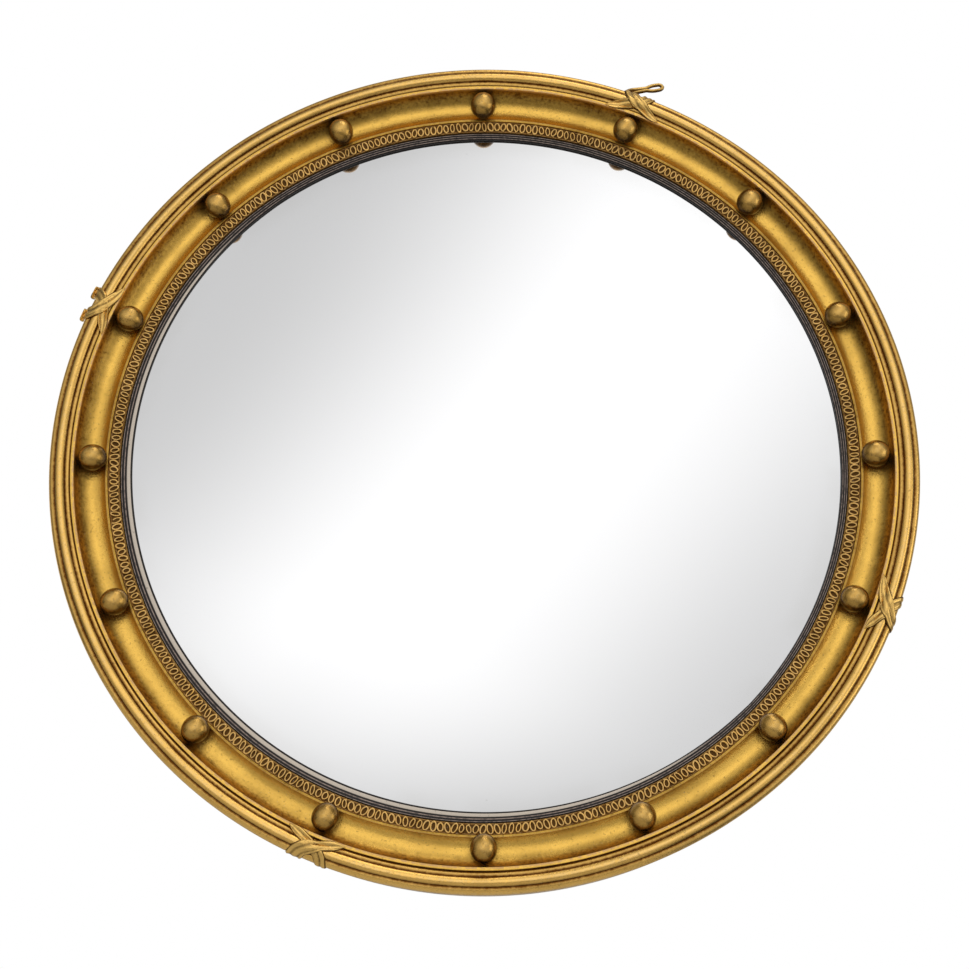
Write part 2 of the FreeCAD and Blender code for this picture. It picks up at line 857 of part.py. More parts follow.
def backboard_nails():
    """Cut nails through the backboard's edge into the ledge, each with a flat square head."""
    body = new_body("backboard_nails")
    head = size("nail_head_thickness")
    plan = square_plan(body, "shank", size("nail_width"), nail_ring, board_back)
    shank = pad(body, plan, size("nail_length"))
    cap = pad(body, square_plan(body, "head", size("nail_head_width"), nail_ring, board_back - head), head)
    pattern = polar_pattern(body, shank, size("nail_count"), plan)
    pattern.Originals = [shank, cap]
    body.Placement = UPRIGHT
    return body


# Hanging plate, nails and ring

def hanging_plate():
    """Brass plate with a rolled knuckle along its upper edge and two square nail holes."""
    body = new_body("hanging_plate")
    half = size("plate_width") / 2
    corner = size("plate_corner")
    outline = plate_nail_squares(body, "hanging_plate", size("nail_width"), plate_face)
    corners = [
        (corner - half, plate_low),
        (half - corner, plate_low),
        (half, plate_low + corner),
        (half, plate_high),
        (-half, plate_high),
        (-half, plate_low + corner),
    ]
    draw_outline(outline, corners)
    pad(body, outline, size("plate_thickness"))
    roll = new_sketch(body, "roll", "YZ_Plane")
    draw_circle(roll, plate_high, hinge_height, size("knuckle_radius"))
    pad(body, roll, size("knuckle_length"), midplane=True)
    doc.recompute()
    bore = new_sketch(body, "bore", "YZ_Plane")
    draw_circle(bore, plate_high, hinge_height, size("hinge_bore"))
    pocket_through(body, bore)
    body.Placement = UPRIGHT
    return body


def plate_nails():
    """Two cut nails with flat square heads, through the hanging plate into the ring."""
    body = new_body("plate_nails")
    head = size("nail_head_thickness")
    pad(body, plate_nail_squares(body, "shanks", size("nail_width"), plate_face), size("plate_nail_length"))
    pad(body, plate_nail_squares(body, "heads", size("nail_head_width"), plate_face - head), head)
    body.Placement = UPRIGHT
    return body


def hanging_ring():
    """D-shaped brass ring, hanging at rest: a round bar in the knuckle and a flat bow below it."""
    body = new_body("hanging_ring")
    bar = size("ring_bar")
    pin = size("hinge_bore") - size("hinge_clearance")
    outer = size("ring_width") / 2
    inner = outer - bar
    leg = plate_high - size("ring_leg")
    plan = new_sketch(body, "bow_plan", "XY_Plane", hinge_height)
    corners = [
        (-outer, leg),
        (bound(0), leg - outer),
        (outer, leg),
        (outer, plate_high + pin),
        (inner, plate_high + pin),
        (inner, leg),
        (bound(0), leg - inner),
        (-inner, leg),
        (-inner, plate_high + pin),
        (-outer, plate_high + pin),
    ]
    arcs = {0: (outer, -1), 1: (outer, -1), 5: (inner, 1), 6: (inner, 1)}
    draw_outline(plan, corners, arcs)
    pad(body, plan, bar, midplane=True)
    section = new_sketch(body, "bar_section", "YZ_Plane")
    draw_circle(section, plate_high, hinge_height, pin)
    pad(body, section, outer * 2 - bar, midplane=True)
    body.Placement = UPRIGHT
    return body


# Build, check and write

nodes = [frame_ring(), reeded_border(), loop_moulding(), slip(), glass(), glass_blocks()]
nodes += balls()
nodes += [ball_brads()]
nodes += ribbon_ties()
nodes += [ribbon_loop()]
nodes += backboard()
nodes += [backboard_nails(), hanging_plate(), plate_nails(), hanging_ring()]

doc.recompute()
broken = [item.Label for item in doc.Objects if {"Invalid", "Error"} & set(item.State)]
if broken:
    raise RuntimeError(f"these objects did not build: {broken}")
for node in nodes:
    if node.Shape.isNull() or not node.Shape.isValid():
        raise RuntimeError(f"{node.Label} has no valid shape")

os.makedirs("parts", exist_ok=True)
for node in nodes:
    node.Shape.exportStep(f"parts/{node.Label}.step")
    print(f"{node.Label}: {len(node.Shape.Solids)} solids, {node.Shape.Volume:.0f} mm3")
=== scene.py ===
import math
import random

import bmesh
import bpy
import numpy as np
from mathutils import Matrix, Vector


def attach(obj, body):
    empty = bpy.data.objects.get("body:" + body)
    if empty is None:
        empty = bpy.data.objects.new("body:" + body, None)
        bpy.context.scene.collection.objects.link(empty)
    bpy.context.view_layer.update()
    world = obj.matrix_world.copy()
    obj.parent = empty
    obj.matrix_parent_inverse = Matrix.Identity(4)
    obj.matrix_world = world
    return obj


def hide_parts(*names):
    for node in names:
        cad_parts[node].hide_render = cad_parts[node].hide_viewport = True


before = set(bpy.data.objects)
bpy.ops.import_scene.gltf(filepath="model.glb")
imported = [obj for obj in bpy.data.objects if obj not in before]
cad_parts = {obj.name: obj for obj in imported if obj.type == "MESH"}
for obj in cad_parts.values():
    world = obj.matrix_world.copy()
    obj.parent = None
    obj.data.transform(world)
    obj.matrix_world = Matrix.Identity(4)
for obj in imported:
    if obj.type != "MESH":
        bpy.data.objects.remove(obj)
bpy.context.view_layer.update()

mm = 0.001
turn = 2 * math.pi


# Camera and light

cameraPlace = {
    "location": (0.202, -1.442, -0.440),
    "look": (-0.1313, 0.9493, 0.2859),
    "up": (-0.359, -0.315, 0.879),
    "lens": 78.3,
}


def addCamera():
    data = bpy.data.cameras.new("camera")
    data.lens = cameraPlace["lens"]
    data.sensor_width = 36
    data.clip_start = 0.01
    camera = bpy.data.objects.new("camera", data)
    bpy.context.scene.collection.objects.link(camera)
    back = -Vector(cameraPlace["look"]).normalized()
    right = Vector(cameraPlace["up"]).cross(back).normalized()
    up = back.cross(right)
    turned = Matrix((right, up, back)).transposed().to_4x4()
    camera.matrix_world = Matrix.Translation(cameraPlace["location"]) @ turned
    bpy.context.scene.camera = camera


def addLamp(name, location, target, width, height, power, colour=(1, 1, 1)):
    data = bpy.data.lights.new(name, "AREA")
    data.shape = "RECTANGLE"
    data.size = width
    data.size_y = height
    data.energy = power
    data.color = colour
    lamp = bpy.data.objects.new(name, data)
    lamp.location = location
    lamp.rotation_euler = (Vector(target) - Vector(location)).to_track_quat("-Z", "Y").to_euler()
    bpy.context.scene.collection.objects.link(lamp)
    return lamp


class Graph:
    """Short ways to add shader nodes to one tree."""

    def __init__(self, tree):
        self.tree = tree

    def add(self, kind, **settings):
        node = self.tree.nodes.new(kind)
        for name, value in settings.items():
            setattr(node, name, value)
        return node

    def feed(self, socket, value):
        if isinstance(value, bpy.types.NodeSocket):
            self.tree.links.new(value, socket)
        elif value is not None:
            socket.default_value = value

    def math(self, operation, a, b=None, clamp=False):
        node = self.add("ShaderNodeMath", operation=operation, use_clamp=clamp)
        self.feed(node.inputs[0], a)
        self.feed(node.inputs[1], b)
        return node.outputs[0]

    def step(self, value, low, high, start=0.0, end=1.0):
        node = self.add("ShaderNodeMapRange", interpolation_type="SMOOTHSTEP")
        for name, number in (("Value", value), ("From Min", low), ("From Max", high), ("To Min", start), ("To Max", end)):
            self.feed(node.inputs[name], number)
        return node.outputs["Result"]

    def mix(self, factor, a, b, blend="MIX"):
        node = self.add("ShaderNodeMix", data_type="RGBA", blend_type=blend)
        self.feed(node.inputs["Factor"], factor)
        self.feed(node.inputs["A"], a)
        self.feed(node.inputs["B"], b)
        return node.outputs["Result"]

    def noise(self, vector, scale, detail=3.0, roughness=0.55, distortion=0.0):
        node = self.add("ShaderNodeTexNoise")
        self.feed(node.inputs["Vector"], vector)
        for name, number in (("Scale", scale), ("Detail", detail), ("Roughness", roughness), ("Distortion", distortion)):
            self.feed(node.inputs[name], number)
        return node.outputs["Fac"]

    def stretch(self, vector, scale):
        node = self.add("ShaderNodeMapping")
        self.feed(node.inputs["Vector"], vector)
        node.inputs["Scale"].default_value = scale
        return node.outputs["Vector"]

    def bump(self, height, distance, strength=1.0):
        node = self.add("ShaderNodeBump")
        node.inputs["Strength"].default_value = strength
        node.inputs["Distance"].default_value = distance
        self.feed(node.inputs["Height"], height)
        return node.outputs["Normal"]

    def place(self):
        return self.add("ShaderNodeTexCoord").outputs["Object"]

    def use(self, group, **values):
        node = self.add("ShaderNodeGroup", node_tree=group)
        for name, value in values.items():
            self.feed(node.inputs[name.replace("_", " ")], value)
        return node.outputs


def newGroup(name, inputs, outputs):
    """A shader node group, its graph, its inputs' sockets and its output node."""
    tree = bpy.data.node_groups.new(name, "ShaderNodeTree")
    for label, kind, default in inputs:
        socket = tree.interface.new_socket(name=label, in_out="INPUT", socket_type=kind)
        if default is not None:
            socket.default_value = default
    for label, kind in outputs:
        tree.interface.new_socket(name=label, in_out="OUTPUT", socket_type=kind)
    graph = Graph(tree)
    return tree, graph, graph.add("NodeGroupInput").outputs, graph.add("NodeGroupOutput").inputs


def addWorld():
    """White behind the object; the metal and the glass see a soft room, bright in front and grey to the sides."""
    world = bpy.data.worlds.new("studio")
    bpy.context.scene.world = world
    world.use_nodes = True
    tree = world.node_tree
    tree.nodes.clear()
    graph = Graph(tree)
    direction = graph.add("ShaderNodeTexCoord").outputs["Generated"]
    across = graph.add("ShaderNodeVectorMath", operation="DOT_PRODUCT")
    graph.feed(across.inputs[0], direction)
    across.inputs[1].default_value = (-0.907, -0.231, 0.351)
    split = graph.add("ShaderNodeSeparateXYZ")
    graph.feed(split.inputs[0], direction)
    upper = graph.step(across.outputs["Value"], 0.44, 0.84, 1.0, 0.58)
    lower = graph.step(across.outputs["Value"], -0.2, 0.34, 0.6, 1.0)
    front = graph.step(split.outputs["Y"], -0.74, -0.05, 1.0, 0.34)
    sky = graph.step(split.outputs["Z"], -0.7, -0.02, 0.2, 1.0)
    behind = graph.step(split.outputs["Y"], 0.25, 0.75, 0.0, 0.5)
    ahead = graph.math("ADD", front, behind)
    room = graph.math("MULTIPLY", graph.math("MULTIPLY", upper, lower), graph.math("MULTIPLY", ahead, sky))
    rays = graph.add("ShaderNodeLightPath")
    softLight = graph.add("ShaderNodeBackground")
    softLight.inputs["Color"].default_value = (1, 1, 1, 1)
    graph.feed(softLight.inputs["Strength"], graph.math("MULTIPLY", room, 1.09))
    white = graph.add("ShaderNodeBackground")
    white.inputs["Strength"].default_value = 1.0
    white.inputs["Color"].default_value = (1, 1, 1, 1)
    blend = graph.add("ShaderNodeMixShader")
    graph.feed(blend.inputs["Fac"], rays.outputs["Is Camera Ray"])
    graph.feed(blend.inputs[1], softLight.outputs["Background"])
    graph.feed(blend.inputs[2], white.outputs["Background"])
    output = graph.add("ShaderNodeOutputWorld")
    graph.feed(output.inputs["Surface"], blend.outputs["Shader"])


# Shared shader groups


def ringPlaceGroup():
    """Where a point lies on the mirror: radius and height in millimetres, clock angle in degrees from 12 o'clock."""
    tree, graph, given, out = newGroup(
        "ringPlace",
        [("Vector", "NodeSocketVector", None)],
        [("Radius", "NodeSocketFloat"), ("Height", "NodeSocketFloat"), ("Angle", "NodeSocketFloat")],
    )
    split = graph.add("ShaderNodeSeparateXYZ")
    graph.feed(split.inputs[0], given["Vector"])
    x, y, z = split.outputs["X"], split.outputs["Y"], split.outputs["Z"]
    squared = graph.math("ADD", graph.math("MULTIPLY", x, x), graph.math("MULTIPLY", z, z))
    graph.feed(out["Radius"], graph.math("MULTIPLY", graph.math("SQRT", squared), 1000.0))
    graph.feed(out["Height"], graph.math("MULTIPLY", y, -1000.0))
    graph.feed(out["Angle"], graph.math("MULTIPLY", graph.math("ARCTAN2", x, z), 180 / math.pi))
    return tree


def gildingGroup():
    """Old gold leaf: darkened with the toning colour as painted shade in recesses and as toning on the ring's sides,
    mixed with the rubbed colour as wear on edges and as a painted highlight on the balls, mottled, specked dark and
    dusted pale.
    """
    tree, graph, given, out = newGroup(
        "oldGilding",
        [
            ("Vector", "NodeSocketVector", None),
            ("Gold", "NodeSocketColor", (0.78, 0.5, 0.15, 1)),
            ("Toning", "NodeSocketColor", (0.12, 0.055, 0.012, 1)),
            ("Rubbed", "NodeSocketColor", (0.72, 0.47, 0.28, 1)),
            ("Recess", "NodeSocketFloat", 0.0),
            ("Edge", "NodeSocketFloat", 0.0),
            ("Mottle", "NodeSocketFloat", 0.5),
            ("Specks", "NodeSocketFloat", 0.5),
            ("Dust", "NodeSocketFloat", 0.3),
            ("Polish", "NodeSocketFloat", 0.35),
        ],
        [
            ("Color", "NodeSocketColor"),
            ("Metallic", "NodeSocketFloat"),
            ("Roughness", "NodeSocketFloat"),
            ("Height", "NodeSocketFloat"),
        ],
    )
    place = given["Vector"]
    broad = graph.noise(place, 38.0, 4.0, 0.6)
    fine = graph.noise(place, 420.0, 4.0, 0.65)
    grain = graph.noise(place, 1900.0, 2.0, 0.5)
    mottle = graph.math("MULTIPLY", graph.step(broad, 0.42, 0.68), given["Mottle"])
    cloud = graph.math("MULTIPLY", graph.step(fine, 0.5, 0.72), given["Mottle"])
    shade = graph.math("ADD", graph.math("MULTIPLY", mottle, 0.42), graph.math("MULTIPLY", cloud, 0.3))
    # Painted shade in recesses, and the toning of the ring's sides, broken up by fine noise.
    broken = graph.math("ADD", given["Recess"], graph.math("MULTIPLY", graph.math("SUBTRACT", fine, 0.5), given["Recess"]))
    mottledAndShaded = graph.mix(graph.math("ADD", shade, broken, clamp=True), given["Gold"], given["Toning"])
    # Wear on edges; on the balls this same mix is a painted highlight.
    worn = graph.math("MULTIPLY", given["Edge"], graph.step(fine, 0.34, 0.56), clamp=True)
    rubbedAndHighlit = graph.mix(worn, mottledAndShaded, given["Rubbed"])
    specks = graph.math("MULTIPLY", graph.step(graph.noise(place, 640.0, 1.0, 0.4), 0.66, 0.74), given["Specks"])
    specked = graph.mix(specks, rubbedAndHighlit, (0.035, 0.018, 0.006, 1))
    lint = graph.step(graph.noise(place, 1150.0, 1.0, 0.3), 0.7, 0.76)
    settled = graph.math("MULTIPLY", graph.math("MULTIPLY", lint, given["Dust"]), graph.step(broad, 0.3, 0.6), clamp=True)
    dusted = graph.mix(settled, specked, (0.62, 0.56, 0.48, 1))
    graph.feed(out["Color"], dusted)
    dull = graph.math("ADD", graph.math("MULTIPLY", worn, 0.45), graph.math("MULTIPLY", settled, 0.7))
    dull = graph.math("ADD", dull, graph.math("MULTIPLY", specks, 0.5))
    dull = graph.math("ADD", dull, graph.math("MULTIPLY", broken, 0.1))
    graph.feed(out["Metallic"], graph.math("SUBTRACT", 1.0, dull, clamp=True))
    matt = graph.math("ADD", graph.math("MULTIPLY", shade, 0.25), graph.math("MULTIPLY", dull, 0.25))
    matt = graph.math("ADD", matt, graph.math("MULTIPLY", graph.math("SUBTRACT", grain, 0.5), 0.12))
    graph.feed(out["Roughness"], graph.math("ADD", given["Polish"], matt, clamp=True))
    lumps = graph.math("ADD", graph.math("MULTIPLY", fine, 0.5), graph.math("MULTIPLY", grain, 0.2))
    graph.feed(out["Height"], graph.math("SUBTRACT", lumps, graph.math("MULTIPLY", specks, 0.3)))
    return tree


def woodGroup():
    """Sawn softwood: growth rings along the board, fine pores, and age stains."""
    tree, graph, given, out = newGroup(
        "sawnWood",
        [
            ("Vector", "NodeSocketVector", None),
            ("Light", "NodeSocketColor", (0.4, 0.24, 0.12, 1)),
            ("Dark", "NodeSocketColor", (0.2, 0.1, 0.045, 1)),
            ("Stain", "NodeSocketFloat", 0.5),
        ],
        [("Color", "NodeSocketColor"), ("Roughness", "NodeSocketFloat"), ("Height", "NodeSocketFloat")],
    )
    place = given["Vector"]
    rings = graph.noise(graph.stretch(place, (46.0, 46.0, 2.4)), 1.0, 5.0, 0.6, 0.6)
    pores = graph.noise(graph.stretch(place, (900.0, 900.0, 30.0)), 1.0, 2.0, 0.5)
    stains = graph.noise(place, 9.0, 4.0, 0.6)
    grained = graph.mix(graph.step(rings, 0.38, 0.64), given["Light"], given["Dark"])
    pored = graph.mix(graph.step(pores, 0.55, 0.75, 0.0, 0.5), grained, given["Dark"])
    aged = graph.math("MULTIPLY", graph.step(stains, 0.45, 0.7), given["Stain"])
    graph.feed(out["Color"], graph.mix(aged, pored, (0.09, 0.05, 0.025, 1)))
    graph.feed(out["Roughness"], graph.step(rings, 0.3, 0.7, 0.62, 0.8))
    graph.feed(out["Height"], graph.math("ADD", graph.math("MULTIPLY", rings, 0.6), graph.math("MULTIPLY", pores, 0.4)))
    return tree


ringPlace = ringPlaceGroup()
oldGilding = gildingGroup()
sawnWood = woodGroup()


def newMaterial(name):
    material = bpy.data.materials.new(name)
    material.use_nodes = True
    tree = material.node_tree
    tree.nodes.clear()
    graph = Graph(tree)
    shader = graph.add("ShaderNodeBsdfPrincipled")
    output = graph.add("ShaderNodeOutputMaterial")
    graph.feed(output.inputs["Surface"], shader.outputs["BSDF"])
    return material, graph, shader.inputs


def gild(graph, sockets, bumpDistance, **values):
    """Feeds a shader from the gilding group."""
    made = graph.use(oldGilding, Vector=graph.place(), **values)
    graph.feed(sockets["Base Color"], made["Color"])
    graph.feed(sockets["Metallic"], made["Metallic"])
    graph.feed(sockets["Roughness"], made["Roughness"])
    graph.feed(sockets["Normal"], graph.bump(made["Height"], bumpDistance))


def between(graph, value, low, high, soft):
    """1 inside low to high, falling to 0 over soft on both sides."""
    rise = graph.step(value, low - soft, low + soft)
    fall = graph.step(value, high - soft, high + soft, 1.0, 0.0)
    return graph.math("MULTIPLY", rise, fall)


def giltWoodMaterial():
    material, graph, sockets = newMaterial("giltWood")
    spot = graph.use(ringPlace, Vector=graph.place())
    radius, height = spot["Radius"], spot["Height"]
    uneven = graph.math("MULTIPLY", graph.math("SUBTRACT", graph.noise(graph.place(), 60.0), 0.5), 3.0)
    near = graph.math("ADD", radius, uneven)
    # Painted shade in the cove: darker under its outer fillet and, less so, by its inner fillet.
    underFillet = graph.step(near, 275.5, 286.5)
    overInner = graph.step(near, 266.8, 269.0, 1.0, 0.0)
    inCove = between(graph, radius, 266.7, 287.1, 0.12)
    paintedShadeAndSides = graph.math("ADD", graph.math("MULTIPLY", underFillet, 0.78), graph.math("MULTIPLY", overInner, 0.3))
    paintedShadeAndSides = graph.math("MULTIPLY", paintedShadeAndSides, inCove)
    # Painted shade in the quirk between the fillet and the reeds; below height 35.5 the ring's sides and back take the
    # toning colour as their own finish.
    raised = graph.step(height, 35.5, 36.5)
    quirk = graph.math("MULTIPLY", graph.step(radius, 289.3, 289.8), raised)
    quirk = graph.math("ADD", quirk, graph.step(height, 35.5, 36.5, 0.45, 0.0))
    # Painted shade inside radius 266.4, on the inner fillet's inner wall.
    innerFillet = graph.step(radius, 266.4, 266.7, 0.5, 0.0)
    paintedShadeAndSides = graph.math("ADD", paintedShadeAndSides, graph.math("ADD", quirk, innerFillet), clamp=True)
    outerEdge = between(graph, radius, 287.0, 288.4, 0.25)
    innerEdge = graph.math("MULTIPLY", between(graph, radius, 266.0, 266.6, 0.2), 0.25)
    onTop = graph.step(height, 39.2, 39.8)
    edge = graph.math("MULTIPLY", graph.math("ADD", outerEdge, innerEdge), onTop, clamp=True)
    gild(
        graph, sockets, 0.0004,
        Gold=(0.95, 0.575, 0.115, 1), Toning=(0.11, 0.045, 0.002, 1), Rubbed=(0.74, 0.44, 0.17, 1),
        Recess=paintedShadeAndSides, Edge=edge, Mottle=0.36, Specks=0.3, Dust=0.2, Polish=0.27,
    )
    return material


def giltReedMaterial():
    material, graph, sockets = newMaterial("giltReeds")
    spot = graph.use(ringPlace, Vector=graph.place())
    outwards = graph.math("SUBTRACT", spot["Radius"], 297.145)
    forwards = graph.math("SUBTRACT", spot["Height"], 42.0)
    squared = graph.math("ADD", graph.math("MULTIPLY", outwards, outwards), graph.math("MULTIPLY", forwards, forwards))
    reach = graph.math("SQRT", squared)
    # Painted shade in the grooves between the reeds, on the inner wall by the quirk and on the lower sides that turn
    # away from the front.
    groove = graph.step(reach, 7.1, 8.35, 1.0, 0.0)
    wall = graph.step(spot["Radius"], 290.0, 291.4, 0.9, 0.0)
    under = graph.step(spot["Height"], 38.5, 42.5, 0.7, 0.0)
    shaded = graph.math("ADD", groove, graph.math("MAXIMUM", wall, under), clamp=True)
    crest = graph.step(reach, 8.45, 8.6, 0.0, 0.3)
    gild(
        graph, sockets, 0.0003,
        Gold=(0.96, 0.58, 0.15, 1), Toning=(0.13, 0.042, 0.002, 1), Rubbed=(0.97, 0.7, 0.33, 1),
        Recess=shaded, Edge=crest, Mottle=0.3, Specks=0.3, Dust=0.15, Polish=0.22,
    )
    return material


def giltOrnamentMaterial(name, gold, low, high, mottle, polish):
    """Cast ornament: painted shade where the Relief attribute is low, rubbed where it is high."""
    material, graph, sockets = newMaterial(name)
    relief = graph.add("ShaderNodeAttribute", attribute_name="relief").outputs["Fac"]
    gild(
        graph, sockets, 0.0003,
        Gold=gold, Toning=(0.11, 0.05, 0.01, 1), Rubbed=(0.9, 0.6, 0.25, 1),
        Recess=graph.step(relief, low, high, 1.0, 0.0), Edge=graph.step(relief, 0.75, 1.0, 0.0, 0.5),
        Mottle=mottle, Specks=0.3, Dust=0.2, Polish=polish,
    )
    return material


def ballMaterial():
    material, graph, sockets = newMaterial("bronzedBalls")
    spot = graph.use(ringPlace, Vector=graph.place())
    # Painted shade over the back of each ball towards the cove, and a painted highlight in the rubbed colour round its
    # front pole.
    sunk = graph.step(spot["Height"], 47.5, 55.6, 1.0, 0.0)
    crown = graph.step(spot["Height"], 53.0, 55.6, 0.0, 0.35)
    gild(
        graph, sockets, 0.0004,
        Gold=(0.66, 0.38, 0.085, 1), Toning=(0.075, 0.032, 0.003, 1), Rubbed=(0.85, 0.56, 0.18, 1),
        Recess=sunk, Edge=crown, Mottle=0.45, Specks=0.35, Dust=0.0, Polish=0.15,
    )
    sockets["Coat Weight"].default_value = 0.12
    sockets["Coat Roughness"].default_value = 0.06
    return material


def slipMaterial():
    """Black polish over wood with painted grey highlights along the small reeds; the innermost one pale from 4 to 9
    o'clock.
    """
    material, graph, sockets = newMaterial("ebonisedSlip")
    place = graph.place()
    fine = graph.noise(place, 420.0, 3.0)
    relief = graph.add("ShaderNodeAttribute", attribute_name="relief").outputs["Fac"]
    pale = graph.add("ShaderNodeAttribute", attribute_name="worn").outputs["Fac"]
    # Painted highlight: grey-brown along the crests of the small reeds.
    crest = graph.math("MULTIPLY", graph.step(relief, 0.55, 1.0), graph.step(fine, 0.3, 0.62, 0.3, 1.0))
    crestHighlighted = graph.mix(crest, (0.012, 0.008, 0.006, 1), (0.46, 0.35, 0.29, 1))
    # Pale on the innermost reed from 4 to 9 o'clock, broken up by fine noise.
    paleLipMask = graph.math("MULTIPLY", graph.step(pale, 0.35, 0.7), graph.step(fine, 0.22, 0.4, 0.5, 1.0))
    graph.feed(sockets["Base Color"], graph.mix(paleLipMask, crestHighlighted, (0.74, 0.64, 0.53, 1)))
    graph.feed(sockets["Roughness"], graph.math("ADD", graph.step(fine, 0.3, 0.7, 0.26, 0.42), graph.math("MULTIPLY", pale, 0.25)))
    graph.feed(sockets["Normal"], graph.bump(fine, 0.00015))
    sockets["Specular IOR Level"].default_value = 0.3
    return material


def mirrorMaterial():
    """Silvered glass, a little soft, with a faint grey bloom towards its edge and a few pin specks."""
    material, graph, sockets = newMaterial("silveredGlass")
    place = graph.place()
    spot = graph.use(ringPlace, Vector=place)
    bloom = graph.noise(place, 14.0, 3.0)
    rim = graph.math("MULTIPLY", graph.step(spot["Radius"], 232.0, 251.0), graph.step(bloom, 0.35, 0.65))
    pins = graph.step(graph.noise(place, 260.0, 1.0), 0.79, 0.82, 0.0, 0.35)
    silver = graph.mix(graph.math("MULTIPLY", rim, 0.3), (0.955, 0.955, 0.96, 1), (0.8, 0.79, 0.77, 1))
    graph.feed(sockets["Base Color"], graph.mix(graph.math("MULTIPLY", pins, rim), silver, (0.3, 0.28, 0.25, 1)))
    graph.feed(sockets["Roughness"], graph.step(bloom, 0.3, 0.7, 0.03, 0.055))
    sockets["Metallic"].default_value = 1.0
    return material


def pineMaterial(name, light, dark, stain):
    material, graph, sockets = newMaterial(name)
    made = graph.use(sawnWood, Vector=graph.place(), Light=light, Dark=dark, Stain=stain)
    graph.feed(sockets["Base Color"], made["Color"])
    graph.feed(sockets["Roughness"], made["Roughness"])
    graph.feed(sockets["Normal"], graph.bump(made["Height"], 0.0005))
    return material


def metalMaterial(name, clean, tarnish, low, high, spread):
    """Bare metal with tarnish in patches and fine scratches."""
    material, graph, sockets = newMaterial(name)
    place = graph.place()
    patches = graph.noise(place, spread, 4.0, 0.6)
    scratches = graph.noise(graph.stretch(place, (2600.0, 300.0, 300.0)), 1.0, 2.0)
    aged = graph.step(patches, 0.4, 0.66)
    graph.feed(sockets["Base Color"], graph.mix(aged, clean, tarnish))
    graph.feed(sockets["Roughness"], graph.step(graph.math("ADD", patches, graph.math("MULTIPLY", scratches, 0.3)), 0.4, 0.95, low, high))
    graph.feed(sockets["Normal"], graph.bump(scratches, 0.00008))
    sockets["Metallic"].default_value = 1.0
    return material


print("stage: materials")
giltWood = giltWoodMaterial()
giltReeds = giltReedMaterial()
giltRibbon = giltOrnamentMaterial("giltRibbon", (0.94, 0.59, 0.17, 1), -0.1, 0.5, 0.4, 0.24)
giltLoops = giltOrnamentMaterial("giltLoops", (0.8, 0.47, 0.125, 1), 0.35, 0.9, 0.5, 0.3)
loopGround = giltOrnamentMaterial("loopGround", (0.2, 0.085, 0.015, 1), 0.3, 0.95, 0.6, 0.45)
bronzedBalls = ballMaterial()
ebonisedSlip = slipMaterial()
silveredGlass = mirrorMaterial()
pine = pineMaterial("pineBoards", (0.36, 0.2, 0.095, 1), (0.19, 0.09, 0.04, 1), 0.45)
blockPine = pineMaterial("blockPine", (0.45, 0.29, 0.15, 1), (0.26, 0.14, 0.06, 1), 0.3)
ironNails = metalMaterial("ironNails", (0.12, 0.105, 0.1, 1), (0.07, 0.035, 0.02, 1), 0.4, 0.75, 300.0)
agedBrass = metalMaterial("agedBrass", (0.62, 0.43, 0.17, 1), (0.22, 0.13, 0.05, 1), 0.25, 0.55, 140.0)


# Mesh helpers


def place(radius, angle, height):
    """World point, in metres, from bench millimetres and a clock angle in radians."""
    return radius * mm * math.sin(angle), -height * mm, radius * mm * math.cos(angle)


def makePiece(name, points, faces, material, sharp=40):
    mesh = bpy.data.meshes.new(name)
    mesh.from_pydata([tuple(point) for point in points], [], faces)
    work = bmesh.new()
    work.from_mesh(mesh)
    bmesh.ops.recalc_face_normals(work, faces=work.faces)
    work.to_mesh(mesh)
    work.free()
    mesh.shade_smooth()
    mesh.set_sharp_from_angle(angle=math.radians(sharp))
    mesh.materials.append(material)
    piece = bpy.data.objects.new(name, mesh)
    bpy.context.scene.collection.objects.link(piece)
    return piece


def setRelief(piece, values):
    attribute = piece.data.attributes.new("relief", "FLOAT", "POINT")
    attribute.data.foreach_set("value", np.asarray(values, dtype=np.float32))


def arc(centre, radius, start, end, count):
    """Points of an arc, degrees, both ends included."""
    angles = np.radians(np.linspace(start, end, count))
    return [(centre[0] + radius * math.cos(a), centre[1] + radius * math.sin(a)) for a in angles]


def turned(name, profile, material, segments=512, reshape=None, sharp=40):
    """Turns a closed (radius, height) outline about the mirror's axis. reshape may move each point a little."""
    count = len(profile)
    points, faces = [], []
    for step in range(segments):
        angle = turn * step / segments
        for radius, height in profile:
            if reshape:
                radius, height = reshape(angle, radius, height)
            points.append(place(radius, angle, height))
    for step in range(segments):
        here, there = step * count, (step + 1) % segments * count
        for i in range(count):
            j = (i + 1) % count
            faces.append((here + i, here + j, there + j, there + i))
    return makePiece(name, points, faces, material, sharp)


def finish(piece, body, slot, *nodes):
    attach(piece, body)
    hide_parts(*nodes)
    return piece


# Turned ring

ringShape = {
    "cove": ((280.62, 0.0), 11.9),
    "waver": 0.10,
}


def coveCentre(outer, inner, radius):
    middle = ((outer[0] + inner[0]) / 2, (outer[1] + inner[1]) / 2)
    across, up = outer[0] - inner[0], outer[1] - inner[1]
    chord = math.hypot(across, up)
    lift = math.sqrt(radius ** 2 - (chord / 2) ** 2)
    return middle[0] - up / chord * lift, middle[1] + across / chord * lift


def handWaver(seed, size):
    """Slow waves round the ring, as a hand-turned and gessoed piece has."""
    source = random.Random(seed)
    waves = [(source.randint(3, 40), source.uniform(0, turn), source.uniform(0.3, 1.0)) for _ in range(9)]
    total = sum(weight for _, _, weight in waves)

    def reshape(angle, radius, height):
        if height < 36.9:
            return radius, height
        wave = sum(weight * math.sin(count * angle + phase + radius * 0.35) for count, phase, weight in waves)
        return radius, height + size * wave / total

    return reshape


